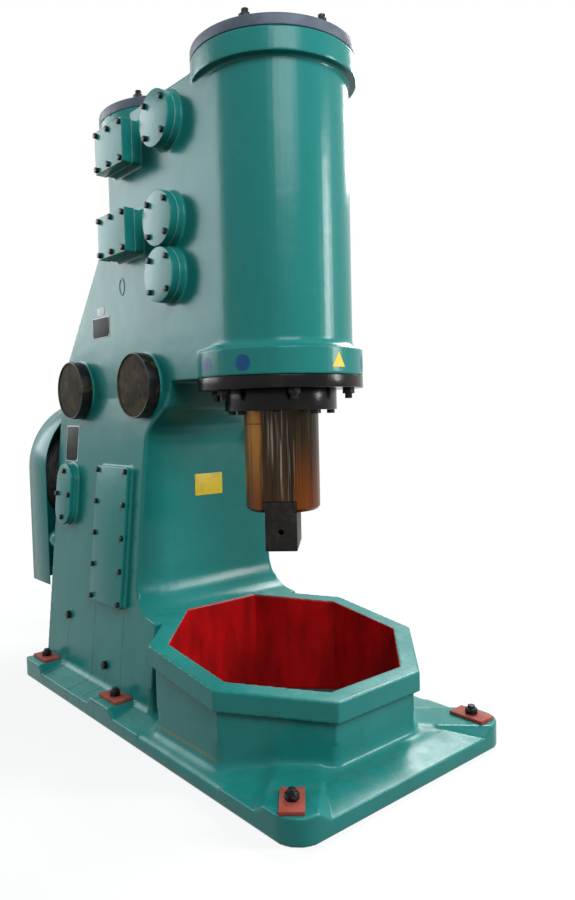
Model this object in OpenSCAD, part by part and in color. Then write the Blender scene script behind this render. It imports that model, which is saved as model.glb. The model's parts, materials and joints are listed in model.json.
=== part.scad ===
// Pneumatic forging hammer: one-piece frame, ram, air compressor, rotary air valves and drive.
// Millimetres, Z up, front towards -Y. The sole stands on z = 0.
// Distances called "behind" are measured from the ram's axis towards the back.

/* [Base] */
// Width of the flange beside the column's foot
flange_w = 127; // [120:1:140]
// Length of the flange behind the column's back
base_tail = 48; // [40:1:80]
// Height of the flange at its outer edge
base_edge_h = 60; // [50:1:70]
// Height of the flange where the walls rise
base_crown_h = 85; // [78:1:92]
// Width of the sloping shoulder along the flange's edge
base_shoulder = 130; // [110:1:150]
// Radius of the cove where the walls meet the flange
foot_cove = 55; // [40:1:58]
// Depth to which the coves are let into the walls
cove_sink = 2; // [1:0.5:3]
// Radius of the flange's corners
base_corner_r = 110; // [80:1:130]
// Distance from the front edge of the base to the ram's axis
ram_setback = 727; // [715:1:745]
// Distance of the foundation bolts from the side edges
bolt_inset = 87; // [82:1:88]
// Distance of the front foundation bolts from the front edge
bolt_front_inset = 117; // [110:1:124]
// Distance of the middle foundation bolts behind the throat's wall
bolt_mid_off = 55; // [40:1:70]
// Distance of the rear foundation bolts before the column's back
bolt_rear_inset = 115; // [105:1:130]
// Length of the flat top of a bolt pad
pad_l = 190; // [180:1:210]
// Length of the slope at each end of a bolt pad
pad_slope = 40; // [30:1:50]
// Reach of a bolt pad from the side edge
pad_w = 200; // [190:1:210]
// Height of the bolt pads
pad_h = 98; // [94:1:104]
// Depth of the spot faces under the bolt plates
seat_d = 2; // [1:0.5:3]

/* [Anvil well] */
// Width across the flats of the octagonal well
well_af = 960; // [930:5:980]
// Width across the flats of the wall around the well
wall_af = 1070; // [1060:2:1090]
// Width across the flats of the band around the rim
band_af = 1120; // [1110:2:1140]
// Height of the band around the rim
band_h = 84; // [70:1:95]
// Height of the rim on the ram's axis
rim_h = 424; // [410:1:440]
// Slope of the rim, rising to the back, in degrees
rim_slope = 7.6; // [4:0.1:8]

/* [Column] */
// Distance of the column's foot behind the ram's axis
foot_y = 414; // [405:1:425]
// Distance of the throat's back wall before the compressor's axis
throat_off = 233; // [226:1:240]
// Radius at the foot of the throat
throat_foot_r = 150; // [120:1:170]
// Drop of the throat's roof at the back wall below the cylinder
throat_roof_drop = 233; // [220:1:245]
// Radius at the top of the throat's back wall
throat_roof_r = 130; // [100:1:140]
// Distance of the throat's brow behind the cylinder's wall
brow_off = 120; // [112:1:126]
// Drop of the throat's brow below the cylinder
brow_drop = 115; // [108:1:120]
// Radius of the throat's brow
brow_r = 60; // [40:1:70]
// Distance behind the cylinder's wall where the throat meets it
throat_top_off = 70; // [65:1:75]
// Distance of the column's back wall behind the compressor's axis
rear_off = 727; // [715:1:735]
// Height above the cylinder's lower end where the back starts to slope
slope_rise = 23; // [10:1:40]
// Distance behind the compressor's axis where the back slope ends
slope_top_off = 77; // [68:1:86]
// Drop of the end of the back slope below the cylinder's upper end
slope_top_drop = 500; // [486:1:516]
// Radius of the bends in the column's back
rear_bend_r = 140; // [100:1:180]
// Drop below the cylinder at which the sides start to spread
flare_drop = 58; // [50:1:70]
// Spread of each side, in degrees
flare = 5.8; // [5:0.1:6.2]
// Thickness of the column's walls
wall_t = 60; // [55:1:65]

/* [Cylinders] */
// Outer radius of both cylinders and half width of the body
body_r = 315; // [310:1:320]
// Gap between the upper flanges of the two cylinders
cyl_gap = 126; // [118:1:134]
// Drop of the deck between the cylinders below their upper end
deck_drop = 52; // [43:1:63]
// Height of the working cylinder's lower end
cyl_foot_z = 1561; // [1556:1:1566]
// Length of the working cylinder
cyl_l = 1318; // [1298:1:1340]
// Drop of the compressor cylinder's upper end below that of the working cylinder
comp_drop = 29; // [22:1:36]
// Width of the working cylinder's lower flange
foot_flange_w = 42; // [41:1:46]
// Height of the working cylinder's lower flange
foot_flange_h = 111; // [105:1:118]
// Radius of the cove above the lower flange
foot_cove_r = 40; // [30:1:41]
// Width of the cylinders' upper flanges
head_flange_w = 36; // [30:1:40]
// Height of the cylinders' upper flanges
head_flange_h = 94; // [84:1:101]
// Radius of the working cylinder's bore
work_bore_r = 200; // [198:1:202]
// Radius of the compressor cylinder's bore
comp_bore_r = 225; // [223:1:227]
// Thickness of the cylinder covers
cover_t = 46; // [40:1:55]
// Depth of the cover spigots in the bores
spigot_h = 30; // [24:1:36]
// Distance of the stud circle inside the cylinder's wall
stud_inset = 11; // [8:1:14]
// Radius of the cylinder studs
stud_r = 15; // [12:1:17]
// Height of the studs above their nuts
stud_end = 20; // [14:1:26]
// Depth of the studs in the flanges
stud_sink = 70; // [60:1:80]

/* [Ram] */
// Radius of the ram's rod
ram_r = 162; // [160:1:163]
// Distance of the ram's two flats from its axis
ram_flat = 150; // [147:1:152]
// Turn of the flats and the die about the ram's axis, in degrees
die_turn = -45; // [-60:1:-30]
// Reach of the ram below the gland
ram_reach = 431; // [420:1:440]
// Gap between the guide and the ram's piston at rest
shoulder_gap = 6; // [4:1:10]
// Length of the ram's piston
ram_piston_l = 608; // [598:1:618]
// Radius of the hollow in the ram
ram_hollow_r = 105; // [95:1:115]
// Thickness of the ram below its hollow
ram_floor = 310; // [290:1:330]
// Chamfer on the ram's lower edge
ram_chamfer = 14; // [10:1:18]
// Height of a ram ring
ram_ring_h = 16; // [14:1:18]
// Depth of the ring grooves
ring_depth = 12; // [10:1:14]
// Distance between the ram rings
ram_ring_step = 34; // [30:1:38]
// Width of the upper die
die_w = 136; // [130:1:142]
// Length of the upper die
die_l = 290; // [280:1:300]
// Height of the upper die below the ram
die_h = 162; // [155:1:170]
// Lean of the dovetail's slanting side
tail_lean = 10; // [8:1:14]
// Height of the die's dovetail
tail_h = 48; // [44:1:52]
// Width of the taper key beside the dovetail
key_w = 18; // [16:1:20]
// Radius of the lifting hole in the die
die_hole_r = 11; // [9:1:13]
// Depth of the lifting hole in the die
die_hole_d = 60; // [50:1:70]

/* [Guide and gland] */
// Thickness of the lower cylinder flange
guide_flange_t = 51; // [46:1:54]
// Rise of the guide into the cylinder
guide_rise = 155; // [150:1:158]
// Inner radius of the guide's body
guide_seat_r = 178; // [176:1:180]
// Radius of the gland
gland_r = 243; // [238:1:250]
// Height of the gland
gland_h = 89; // [84:1:94]
// Radius of the packing's seat
packing_r = 190; // [188:1:194]
// Height of the packing
packing_h = 50; // [44:1:54]
// Radius of the circle of the gland bolts
gland_bolt_circle_r = 216; // [214:1:220]
// Radius of the gland bolts
gland_bolt_r = 10; // [8:1:11]
// Number of the gland bolts
gland_bolt_n = 8; // [6:2:10]

/* [Air valves] */
// Distance of the valves behind the cylinder's wall
valve_off = 32; // [28:1:35]
// Height of the upper valve as a share of the cylinder
upper_valve_share = 0.853; // [0.845:0.001:0.857]
// Height of the middle valve as a share of the cylinder
middle_valve_share = 0.532; // [0.529:0.001:0.537]
// Gap between the middle and the lower valve cover
valve_cover_gap = 3; // [2:1:8]
// Radius of the valve bores
valve_r = 70; // [66:1:72]
// Radius of the valve stems
valve_stem_r = 28; // [25:1:30]
// Radius of the valve covers and their bosses
valve_cover_r = 119; // [116:1:120]
// Thickness of the valve covers
valve_cover_t = 36; // [32:1:40]
// Height of the valve bosses above the body's side
valve_boss_h = 36; // [32:1:40]
// Radius of the circle of the valve cover bolts
valve_bolt_circle_r = 98; // [97:1:100]
// Radius of the air passages
passage_r = 42; // [36:1:46]
// Distance of the lower passage's riser before the valves
riser_off = 55; // [51:1:59]
// Rise of the lower passage's mouth above the cylinder's lower end
riser_rise = 214; // [209:1:220]
// Length of the link arms of the valves
arm_l = 110; // [100:1:115]
// Thickness of levers and arms
lever_t = 36; // [30:1:38]
// Gap between a gland and its lever
lever_gap = 16; // [15:1:18]
// Radius of the lever hubs
hub_r = 52; // [48:1:56]
// Width of the lever arms
lever_w = 44; // [40:1:48]
// Length of the hand lever
hand_lever_l = 690; // [650:5:720]
// Length of the hand lever's grip
grip_l = 150; // [130:1:170]
// Radius of the hand lever's grip
grip_r = 21; // [19:1:24]
// Length of the middle valve's lever
middle_lever_l = 240; // [220:1:260]
// Thickness of the valve link
link_t = 20; // [16:1:24]
// Radius of the link pins
link_pin_r = 12; // [10:1:14]

/* [Side covers] */
// Distance of the passage covers before the compressor's axis
passage_cover_off = 120; // [113:1:126]
// Height of the upper passage cover as a share of the cylinder
upper_passage_share = 0.834; // [0.829:0.001:0.839]
// Height of the lower passage cover as a share of the cylinder
lower_passage_share = 0.53; // [0.525:0.001:0.535]
// Length of the passage covers
passage_cover_l = 266; // [260:1:272]
// Height of the passage covers
passage_cover_h = 200; // [194:1:206]
// Thickness of the passage covers
passage_cover_t = 50; // [44:1:54]
// Height of the passage bosses above the body's side
passage_boss_h = 50; // [44:1:54]
// Distance of the inspection cover behind the compressor's axis
inspection_off = 25; // [20:1:30]
// Height of the inspection cover's middle
inspection_z = 826; // [820:1:832]
// Width of the inspection cover
inspection_w = 322; // [316:1:330]
// Height of the inspection cover
inspection_h = 676; // [668:1:684]
// Thickness of the inspection cover
inspection_t = 14; // [12:1:18]
// Height of the inspection cover's pad
inspection_pad_h = 16; // [12:1:20]
// Distance of the bearing cover before the column's back
bearing_cover_inset = 193; // [187:1:198]
// Height of the bearing cover's middle
bearing_cover_z = 992; // [985:1:998]
// Width of the bearing cover
bearing_cover_w = 184; // [178:1:190]
// Height of the bearing cover
bearing_cover_h = 330; // [320:1:340]
// Thickness of the bearing cover
bearing_cover_t = 18; // [14:1:22]
// Height of the bearing cover's boss
bearing_boss_h = 30; // [26:1:34]
// Distance of the front filter behind the throat's wall
front_filter_off = 10; // [5:1:15]
// Distance of the rear filter before the column's back
rear_filter_inset = 270; // [265:1:280]
// Drop of the filters below the cylinder's lower end
filter_drop = 9; // [5:1:13]
// Radius of the filters
filter_r = 152; // [148:1:156]
// Height of the filters' bosses above the body's side
filter_boss_h = 13; // [12:1:16]
// Length of the filter housings
filter_h = 61; // [56:1:68]
// Wall thickness of the filter housings
filter_wall = 8; // [6:1:10]
// Thickness of the filter screens
screen_t = 12; // [10:1:14]
// Depth of the screens behind the rim of their housings
screen_sink = 5; // [3:1:8]
// Depth of the air inlets behind the filters
inlet_d = 50; // [40:1:60]
// Radius of the cover bolts
cover_bolt_r = 8; // [7:1:9]
// Depth of the cover bolts in the casting
cover_bolt_sink = 26; // [22:1:30]
// Distance of cover bolts from the covers' edges
bolt_edge = 20; // [18:1:22]
// Corner radius of the square covers
cover_corner_r = 22; // [14:1:26]
// Chamfer on the edges of the round covers
edge_c = 4; // [2:1:6]

/* [Compressor drive] */
// Height of the crankshaft's axis
crank_z = 1060; // [1055:1:1065]
// Throw of the crank
throw = 110; // [105:1:112]
// Height of the wrist pin above the foot of the compressor's guide
wrist_rise = 50; // [45:1:55]
// Thickness of the connecting rod
rod_t = 90; // [84:1:94]
// Width of the connecting rod's shank
rod_w = 84; // [76:1:90]
// Width of the flutes along the rod's shank
flute_w = 48; // [40:1:52]
// Depth of the flutes along the rod's shank
flute_d = 20; // [16:1:24]
// Radius of the crankpin
crankpin_r = 70; // [66:1:71]
// Wall of the crankpin bush
crankpin_bush_t = 15; // [13:1:16]
// Half width of the rod's split end
big_end_w = 126; // [124:1:128]
// Radius of the rod's split end
big_end_r = 112; // [110:1:114]
// Height of the bolt lugs at the rod's split end
big_end_lug = 74; // [72:1:78]
// Radius of the rod bolts
rod_bolt_r = 10; // [9:1:11]
// Radius of the rod's upper eye
small_end_r = 52; // [50:1:53]
// Radius of the wrist pin
wrist_pin_r = 32; // [28:1:33]
// Half length of the wrist pin
wrist_pin_l = 80; // [74:1:81]
// Radius of the crank disc
crank_disc_r = 200; // [196:1:204]
// Thickness of the crank disc
crank_disc_t = 92; // [88:1:94]
// Gap between the rod and the crank disc
crank_gap = 30; // [26:1:33]
// Width of the collars at the ends of the crankpin
crankpin_collar_t = 20; // [16:1:22]
// Height of the crankpin's collars above the pin
crankpin_collar_h = 12; // [10:1:14]
// Radius of the oil plug in the crankpin
oil_plug_r = 8; // [6:1:9]
// Length of the oil plug in the crankpin
oil_plug_l = 20; // [16:1:24]
// Radius of the crankshaft
shaft_r = 85; // [82:1:86]
// Radius of the shaft's end in the flywheel
shaft_end_r = 75; // [72:1:77]
// Length of each main bearing
bearing_l = 130; // [124:1:134]
// Outer radius of the main bearings
bearing_r = 128; // [124:1:130]
// Gap between the crank disc and the crankcase's middle wall
disc_gap = 17; // [15:1:21]
// Depth of the rear bearing behind the column's back
bearing_inset = 10; // [6:1:13]
// Height of the crankcase's floor
case_floor_z = 480; // [470:1:490]
// Height of the crankcase's roof above the cylinder's lower end
case_roof_rise = 89; // [80:1:94]
// Radius of the rear bearing cap
bearing_cap_r = 190; // [184:1:196]
// Thickness of the rear bearing cap
bearing_cap_t = 34; // [30:1:38]
// Radius of the flywheel
flywheel_r = 335; // [325:1:340]
// Width of the flywheel's rim
flywheel_w = 160; // [150:1:166]
// Gap between the bearing cap and the flywheel
flywheel_gap = 60; // [54:1:64]
// Depth of the belt grooves
groove_d = 24; // [20:1:28]
// Number of belt grooves
groove_n = 5; // [3:1:6]
// Width of the flywheel's key
flywheel_key_w = 36; // [32:1:40]
// Height of the flywheel's key
flywheel_key_h = 22; // [20:1:24]

/* [Compressor piston] */
// Radius of the piston's trunk
trunk_r = 195; // [193:1:197]
// Inner radius of the piston's trunk
trunk_in_r = 172; // [171:1:174]
// Height of the piston's head
piston_head_h = 100; // [94:1:106]
// Length of the piston's trunk
trunk_l = 680; // [675:1:685]
// Height of the wrist pin above the trunk's lower end
pin_rise = 190; // [186:1:194]
// Height of the slotted pin bosses
pin_boss_h = 150; // [140:1:160]
// Distance between the pin bosses and the middle of the piston
pin_boss_y = 52; // [50:1:54]
// Height of the compressor's guide above the cylinder's lower end
comp_guide_rise = 239; // [234:1:244]
// Length of the compressor's guide
comp_guide_l = 240; // [230:1:245]
// Radius of the opening under the compressor's guide
comp_throat_r = 207; // [206:1:210]
// Height of a piston ring
piston_ring_h = 14; // [12:1:16]
// Distance between the piston rings
piston_ring_step = 40; // [36:1:44]

/* [Belt guard] */
// Half width of the belt guard
guard_r = 405; // [400:1:410]
// Height of the middle of the guard's arch
guard_arch_z = 1110; // [1105:1:1120]
// Height of the guard's lower edge
guard_foot_z = 455; // [445:1:465]
// Gap between the column's back and the guard's front edge
guard_gap = 57; // [53:1:63]
// Room between the flywheel and the guard's outside
guard_room = 41; // [38:1:52]
// Thickness of the guard's sheet
guard_t = 5; // [4:0.5:6]
// Distance of the guard's bosses from the middle
guard_boss_x = 330; // [326:1:334]
// Height of the guard's bosses
guard_boss_z = 715; // [708:1:722]
// Radius of the guard's bosses
guard_boss_r = 70; // [64:1:76]
// Length of the guard's bosses
guard_boss_l = 70; // [64:1:76]
// Height of the guard brackets
bracket_h = 60; // [54:1:66]
// Thickness of the guard brackets
bracket_t = 8; // [6:1:10]
// Length of the brackets along the guard
bracket_l = 92; // [80:1:100]
// Width of the top bracket's foot above the flywheel
bracket_foot = 44; // [38:1:50]

/* [Foundation bolts] */
// Radius of the foundation bolts
anchor_r = 15; // [12:1:17]
// Height of the foundation bolts above their nuts
anchor_end = 12; // [8:1:16]
// Width of the bolt plates
plate_w = 88; // [82:1:94]
// Length of the bolt plates
plate_l = 162; // [154:1:170]
// Thickness of the bolt plates
plate_t = 15; // [12:1:18]
// Turn of the left front bolt plate, in degrees
plate_turn = -42; // [-50:1:-30]
// Radius of the drain plugs
plug_r = 12; // [10:1:14]
// Distance of the upper drain plug behind the ram's axis
upper_plug_y = 1295; // [1280:1:1310]
// Height of the upper drain plug
upper_plug_z = 351; // [335:1:365]
// Distance of the lower drain plug behind the ram's axis
lower_plug_y = 856; // [840:1:870]
// Height of the lower drain plug
lower_plug_z = 188; // [175:1:200]

/* [Clearances] */
// Gap between pieces that run on each other
run_gap = 0.3; // [0.2:0.05:0.4]
// Radial gap of fitted round seats
fit_gap = 0.05; // [0.02:0.01:0.08]
// Radial gap around bolts in their holes
bolt_gap = 0.5; // [0.3:0.1:0.8]
// Side gap of pieces let into a slot
slot_gap = 2; // [1.5:0.1:2.5]
// Overshoot of cutting tools
cut = 2; // [1:1:4]

/* [Hidden] */

$fn = 64;
arc_steps = 10;
small_fn = 24;
stud_n = 6;
cap_bolt_n = 6;
bolt_rows = 5;
lower_stud_turn = 0;
upper_stud_turn = 30;
paint = "#2a9489";
dark = "#2b2a2e";
steel = "#8b8d90";
bronze = "#a9793e";

cyl_top_z = cyl_foot_z + cyl_l;
comp_top_z = cyl_top_z - comp_drop;
deck_z = cyl_top_z - deck_drop;
head_flange_r = body_r + head_flange_w;
foot_flange_r = body_r + foot_flange_w;
stud_circle_r = body_r - stud_inset;
cyl_pitch = 2 * head_flange_r + cyl_gap;
throat_y = cyl_pitch - throat_off;
throat_roof_z = cyl_foot_z - throat_roof_drop;
brow_y = body_r + brow_off;
brow_z = cyl_foot_z - brow_drop;
throat_top_y = body_r + throat_top_off;
rear_y = cyl_pitch + rear_off;
slope_foot_z = cyl_foot_z + slope_rise;
slope_top_y = cyl_pitch + slope_top_off;
slope_top_z = cyl_top_z - slope_top_drop;
flare_z = cyl_foot_z - flare_drop;
base_w = 2 * (body_r + flare_z * tan(flare) + flange_w);
base_l = ram_setback + rear_y + base_tail;
guard_front_y = rear_y + guard_gap;
guard_back_y = rear_y + bearing_cap_t + flywheel_gap + flywheel_w + guard_room;
valve_y = body_r + valve_off;
upper_valve_z = cyl_foot_z + cyl_l * upper_valve_share;
middle_valve_z = cyl_foot_z + cyl_l * middle_valve_share;
lower_valve_z = middle_valve_z - 2 * valve_cover_r - valve_cover_gap;
riser_y = valve_y - riser_off;
riser_z = cyl_foot_z + riser_rise;
passage_cover_y = cyl_pitch - passage_cover_off;
upper_passage_z = cyl_foot_z + cyl_l * upper_passage_share;
lower_passage_z = cyl_foot_z + cyl_l * lower_passage_share;
inspection_y = cyl_pitch + inspection_off;
bearing_cover_y = rear_y - bearing_cover_inset;
front_filter_y = throat_y + front_filter_off;
rear_filter_y = rear_y - rear_filter_inset;
filter_z = cyl_foot_z - filter_drop;
case_front_y = throat_y + wall_t;
case_wall_y = cyl_pitch + rod_t / 2 + crank_gap + crank_disc_t + disc_gap;
case_rear_y = rear_y - bearing_l - bearing_inset;
case_roof_z = cyl_foot_z + case_roof_rise;
comp_guide_z = cyl_foot_z + comp_guide_rise;
y_front = -(ram_setback + guard_back_y) / 2;
ram_y = y_front + ram_setback;
comp_y = ram_y + cyl_pitch;
rim_top = rim_h + band_af * tan(rim_slope);
guide_flange_z = cyl_foot_z - guide_flange_t;
gland_z = guide_flange_z - gland_h;
guide_top_z = cyl_foot_z + guide_rise;
ram_foot_z = gland_z - ram_reach;
ram_hollow_z = ram_foot_z + ram_floor;
ram_shoulder_z = guide_top_z + shoulder_gap;
ram_top_z = ram_shoulder_z + ram_piston_l;
rod_front_y = comp_y - rod_t / 2;
rod_back_y = comp_y + rod_t / 2;
disc_y = rod_back_y + crank_gap;
crankpin_z = crank_z - throw;
wrist_z = comp_guide_z + wrist_rise;
rod_l = wrist_z - crankpin_z;
trunk_z = wrist_z - pin_rise;
head_z = trunk_z + trunk_l;
pin_front_y = rod_front_y - slot_gap - crankpin_collar_t;
back_wall_y = ram_y + rear_y;
flywheel_y = back_wall_y + bearing_cap_t + flywheel_gap;
gland_x = body_r + valve_boss_h;
lever_x = gland_x + valve_cover_t + lever_gap;
link_x = lever_x + lever_t + slot_gap;
stem_end_x = link_x + lever_gap;
valve_heights = [upper_valve_z, middle_valve_z, lower_valve_z];
passage_heights = [upper_passage_z, lower_passage_z];
filter_ys = [front_filter_y, rear_filter_y];
bolt_ys = [bolt_front_inset - ram_setback, throat_y + bolt_mid_off, rear_y - bolt_rear_inset];
big_bolt_x = (crankpin_r + crankpin_bush_t + big_end_w) / 2;
rod_bolt_l = big_end_lug * 2;
nut_share = 1.75;
nut_h_share = 1.6;
plug_places = [[upper_plug_y, upper_plug_z], [lower_plug_y, lower_plug_z]];

// Half width of the column at a height
function side_x(z) = body_r + max(0, flare_z - z) * tan(flare);

// Height of the well's rim at a distance behind the ram's axis
function rim_z(y) = rim_h + y * tan(rim_slope);

// Points that round the corner b between a and c with a radius
function corner(a, b, c, r) =
    let (
        u = (a - b) / norm(a - b),
        v = (c - b) / norm(c - b),
        half = acos(u * v) / 2,
        m = b + (u + v) / norm(u + v) * r / sin(half),
        s = b + u * r / tan(half) - m,
        e = b + v * r / tan(half) - m,
        start = atan2(s.y, s.x),
        turn = atan2(s.x * e.y - s.y * e.x, s * e)
    )
    [for (i = [0:arc_steps]) m + r * [cos(start + turn * i / arc_steps), sin(start + turn * i / arc_steps)]];

// Outline of corners given as [x, y, radius]
function rounded(p) =
    let (n = len(p), q = [for (c = p) [c.x, c.y]])
    [for (i = [0:n - 1])
        each (p[i].z == 0 ? [q[i]] : corner(q[(i + n - 1) % n], q[i], q[(i + 1) % n], p[i].z))];

module at_ram(z = 0) { translate([0, ram_y, z]) children(); }
module at_comp(z = 0) { translate([0, comp_y, z]) children(); }

// Extrudes a Y-Z outline to both sides of the middle plane
module along_x(w) { rotate([90, 0, 90]) linear_extrude(w, center = true) children(); }

// Extrudes an X-Z outline backwards from y by a length
module along_y(y, l) { translate([0, y + l, 0]) rotate([90, 0, 0]) linear_extrude(l) children(); }

// A round bar along Y from y by a length
module bar_y(y, z, r, l, x = 0) { translate([x, y, z]) rotate([-90, 0, 0]) cylinder(r = r, h = l); }

// Places children on the left side of the body, their Z axis outwards and their X axis up
module on_left(y, z, out = 0) {
    translate([-body_r - out, ram_y + y, z]) rotate([0, -90, 0]) children();
}

// The same on the right side, with the X axis down
module on_right(y, z, out = 0) {
    translate([body_r + out, ram_y + y, z]) rotate([0, 90, 0]) children();
}

// Places children square to the left side where it spreads
module on_flare(y, z, out = 0) {
    translate([-side_x(z), ram_y + y, z]) rotate([0, flare - 90, 0]) translate([0, 0, out]) children();
}

module round_rect(w, l, r) {
    square([w - 2 * r, l], center = true);
    square([w, l - 2 * r], center = true);
    for (x = [-1, 1], y = [-1, 1]) translate([x * (w / 2 - r), y * (l / 2 - r)]) circle(r);
}

module octagon(af) { rotate(22.5) circle(r = af / 2 / cos(22.5), $fn = 8); }

module ring(r_out, r_in, h) {
    difference() {
        cylinder(r = r_out, h = h);
        translate([0, 0, -cut]) cylinder(r = r_in, h = h + 2 * cut);
    }
}

// Disc with a chamfer round its upper edge
module soft_disc(r, h) {
    cylinder(r = r, h = h - edge_c);
    translate([0, 0, h - edge_c]) cylinder(r1 = r, r2 = r - edge_c, h = edge_c);
}

// Bolt with its head on z = 0 and its shank below
module hex_bolt(r, sink) {
    cylinder(r = r * nut_share, h = r * nut_h_share, $fn = 6);
    translate([0, 0, -sink]) cylinder(r = r, h = sink, $fn = small_fn);
}

// Stud with its nut on z = 0, its end above and its shank below
module nut_stud(r, sink, end) {
    cylinder(r = r * nut_share, h = r * nut_h_share, $fn = 6);
    translate([0, 0, -sink]) cylinder(r = r, h = sink + r * nut_h_share + end, $fn = small_fn);
}

// Hole for such a bolt, from above z = 0 down to its depth
module bolt_hole(r, sink) {
    translate([0, 0, -sink - cut]) cylinder(r = r + bolt_gap, h = sink + 2 * cut, $fn = small_fn);
}

module on_circle(r, n, turn = 0) {
    for (i = [0:n - 1]) rotate(turn + i * 360 / n) translate([r, 0, 0]) children();
}

// Places of the bolts of each cover, on the cover's face
module valve_bolt_places() { on_circle(valve_bolt_circle_r, 4, 45) children(); }

module passage_bolt_places() {
    for (x = [-1, 1], y = [-1, 0, 1])
        translate([x * (passage_cover_h / 2 - bolt_edge), y * (passage_cover_l / 2 - bolt_edge), 0])
            children();
}

module inspection_bolt_places() {
    for (i = [0:bolt_rows - 1], y = [-1, 1])
        translate([(i / (bolt_rows - 1) - 0.5) * (inspection_h - 2 * bolt_edge),
                   y * (inspection_w / 2 - bolt_edge), 0]) children();
}

module bearing_bolt_places() {
    for (x = [-1, 1]) translate([x * (bearing_cover_h / 2 - bolt_edge * 2), 0, 0]) children();
    for (y = [-1, 1]) translate([0, y * (bearing_cover_w / 2 - bolt_edge), 0]) children();
}

module obround(h, w) {
    square([h - w, w], center = true);
    for (x = [-1, 1]) translate([x * (h - w) / 2, 0]) circle(w / 2);
}

module ram_section(gap = 0) {
    rotate(die_turn) intersection() {
        circle(ram_r + gap);
        square([2 * ram_r + 2 * gap + cut, 2 * ram_flat + 2 * gap], center = true);
    }
}

module base_plan(inset = 0) {
    translate([0, y_front + base_l / 2])
        round_rect(base_w - 2 * inset, base_l - 2 * inset, base_corner_r - inset);
}

function shoulder_outline(from, to) = [
    [from, 0], [to, 0], [to, base_edge_h], [to - base_shoulder, base_crown_h],
    [from + base_shoulder, base_crown_h], [from, base_edge_h]
];

// Section across a bolt pad, with sloping flanks
module pad_section() {
    polygon([
        [-pad_l / 2 - pad_slope, 0], [pad_l / 2 + pad_slope, 0],
        [pad_l / 2 + pad_slope, base_edge_h - cove_sink], [pad_l / 2, pad_h],
        [-pad_l / 2, pad_h], [-pad_l / 2 - pad_slope, base_edge_h - cove_sink]
    ]);
}

// The two front pads run on as ribs towards the well
module base_body() {
    intersection() {
        linear_extrude(pad_h) base_plan();
        union() {
            intersection() {
                along_y(y_front, base_l) polygon(shoulder_outline(-base_w / 2, base_w / 2));
                along_x(base_w) polygon(shoulder_outline(y_front, y_front + base_l));
            }
            for (s = [-1, 1], y = [bolt_ys[1], bolt_ys[2]])
                translate([s * (base_w - pad_w) / 2, ram_y + y, 0]) along_x(pad_w) pad_section();
            for (s = [-1, 1]) translate([s * (base_w / 2 - bolt_inset), ram_y + bolt_ys[0], 0])
                rotate(-45 * s) along_x(wall_af) pad_section();
        }
    }
}

module collar() {
    at_ram() {
        intersection() {
            linear_extrude(rim_top) octagon(wall_af);
            along_x(band_af) polygon([
                [-band_af, 0], [band_af, 0], [band_af, rim_z(band_af)], [-band_af, rim_z(-band_af)]
            ]);
        }
        intersection() {
            linear_extrude(rim_top) octagon(band_af);
            along_x(band_af * 2) polygon([
                [-band_af, rim_z(-band_af) - band_h], [band_af, rim_z(band_af) - band_h],
                [band_af, rim_z(band_af)], [-band_af, rim_z(-band_af)]
            ]);
        }
    }
}

// Cove around the foot of the collar, swept round the octagon
module collar_cove() {
    foot = wall_af / 2 - cove_sink;
    rim = foot + foot_cove + cove_sink;
    top_z = base_edge_h + foot_cove + cove_sink;
    at_ram() rotate(22.5) rotate_extrude($fn = 8) polygon([
        for (p = rounded([
            [0, cove_sink, 0], [rim, cove_sink, 0], [rim, base_edge_h, 0],
            [foot, base_edge_h, foot_cove], [foot, top_z, 0], [0, top_z, 0]
        ])) [p.x / cos(22.5), p.y]
    ]);
}

// Cove along both sides of the column's foot
module column_cove() {
    top_z = base_crown_h + 2 * foot_cove;
    along_y(ram_y + foot_y + cove_sink, rear_y - foot_y - 2 * cove_sink)
        for (s = [0, 1]) mirror([s, 0]) polygon(rounded([
            [0, cove_sink, 0], [base_w / 2 - cove_sink, cove_sink, 0],
            [base_w / 2 - cove_sink, base_edge_h - cove_sink, 0],
            [side_x(base_crown_h) - cove_sink, base_crown_h - cove_sink, foot_cove],
            [side_x(top_z) - cove_sink, top_z, 0], [0, top_z, 0]
        ]));
}

module column() {
    intersection() {
        at_ram() along_x(base_w) polygon(rounded([
            [foot_y, 0, 0], [rear_y, 0, 0], [rear_y, slope_foot_z, rear_bend_r],
            [slope_top_y, slope_top_z, rear_bend_r], [slope_top_y, deck_z, 0], [throat_top_y, deck_z, 0],
            [throat_top_y, cyl_foot_z, 0], [brow_y, brow_z, brow_r],
            [throat_y, throat_roof_z, throat_roof_r], [throat_y, rim_z(throat_y), throat_foot_r],
            [foot_y, rim_z(foot_y), 0]
        ]));
        along_y(ram_y, rear_y) polygon([
            [-side_x(0), 0], [side_x(0), 0], [body_r, flare_z], [body_r, deck_z],
            [-body_r, deck_z], [-body_r, flare_z]
        ]);
    }
}

module cylinder_block() {
    translate([0, 0, cyl_foot_z]) linear_extrude(deck_z - cyl_foot_z) {
        translate([0, ram_y]) circle(body_r);
        translate([0, comp_y]) circle(body_r);
        translate([-body_r, ram_y]) square([2 * body_r, cyl_pitch]);
    }
    at_ram() rotate_extrude() polygon(rounded([
        [0, cyl_foot_z, 0], [foot_flange_r, cyl_foot_z, 0], [foot_flange_r, cyl_foot_z + foot_flange_h, 0],
        [body_r, cyl_foot_z + foot_flange_h, foot_cove_r], [body_r, cyl_top_z - head_flange_h, 0],
        [head_flange_r, cyl_top_z - head_flange_h, 0], [head_flange_r, cyl_top_z, 0], [0, cyl_top_z, 0]
    ]));
    at_comp(comp_top_z - head_flange_h) cylinder(r = head_flange_r, h = head_flange_h);
}

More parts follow.
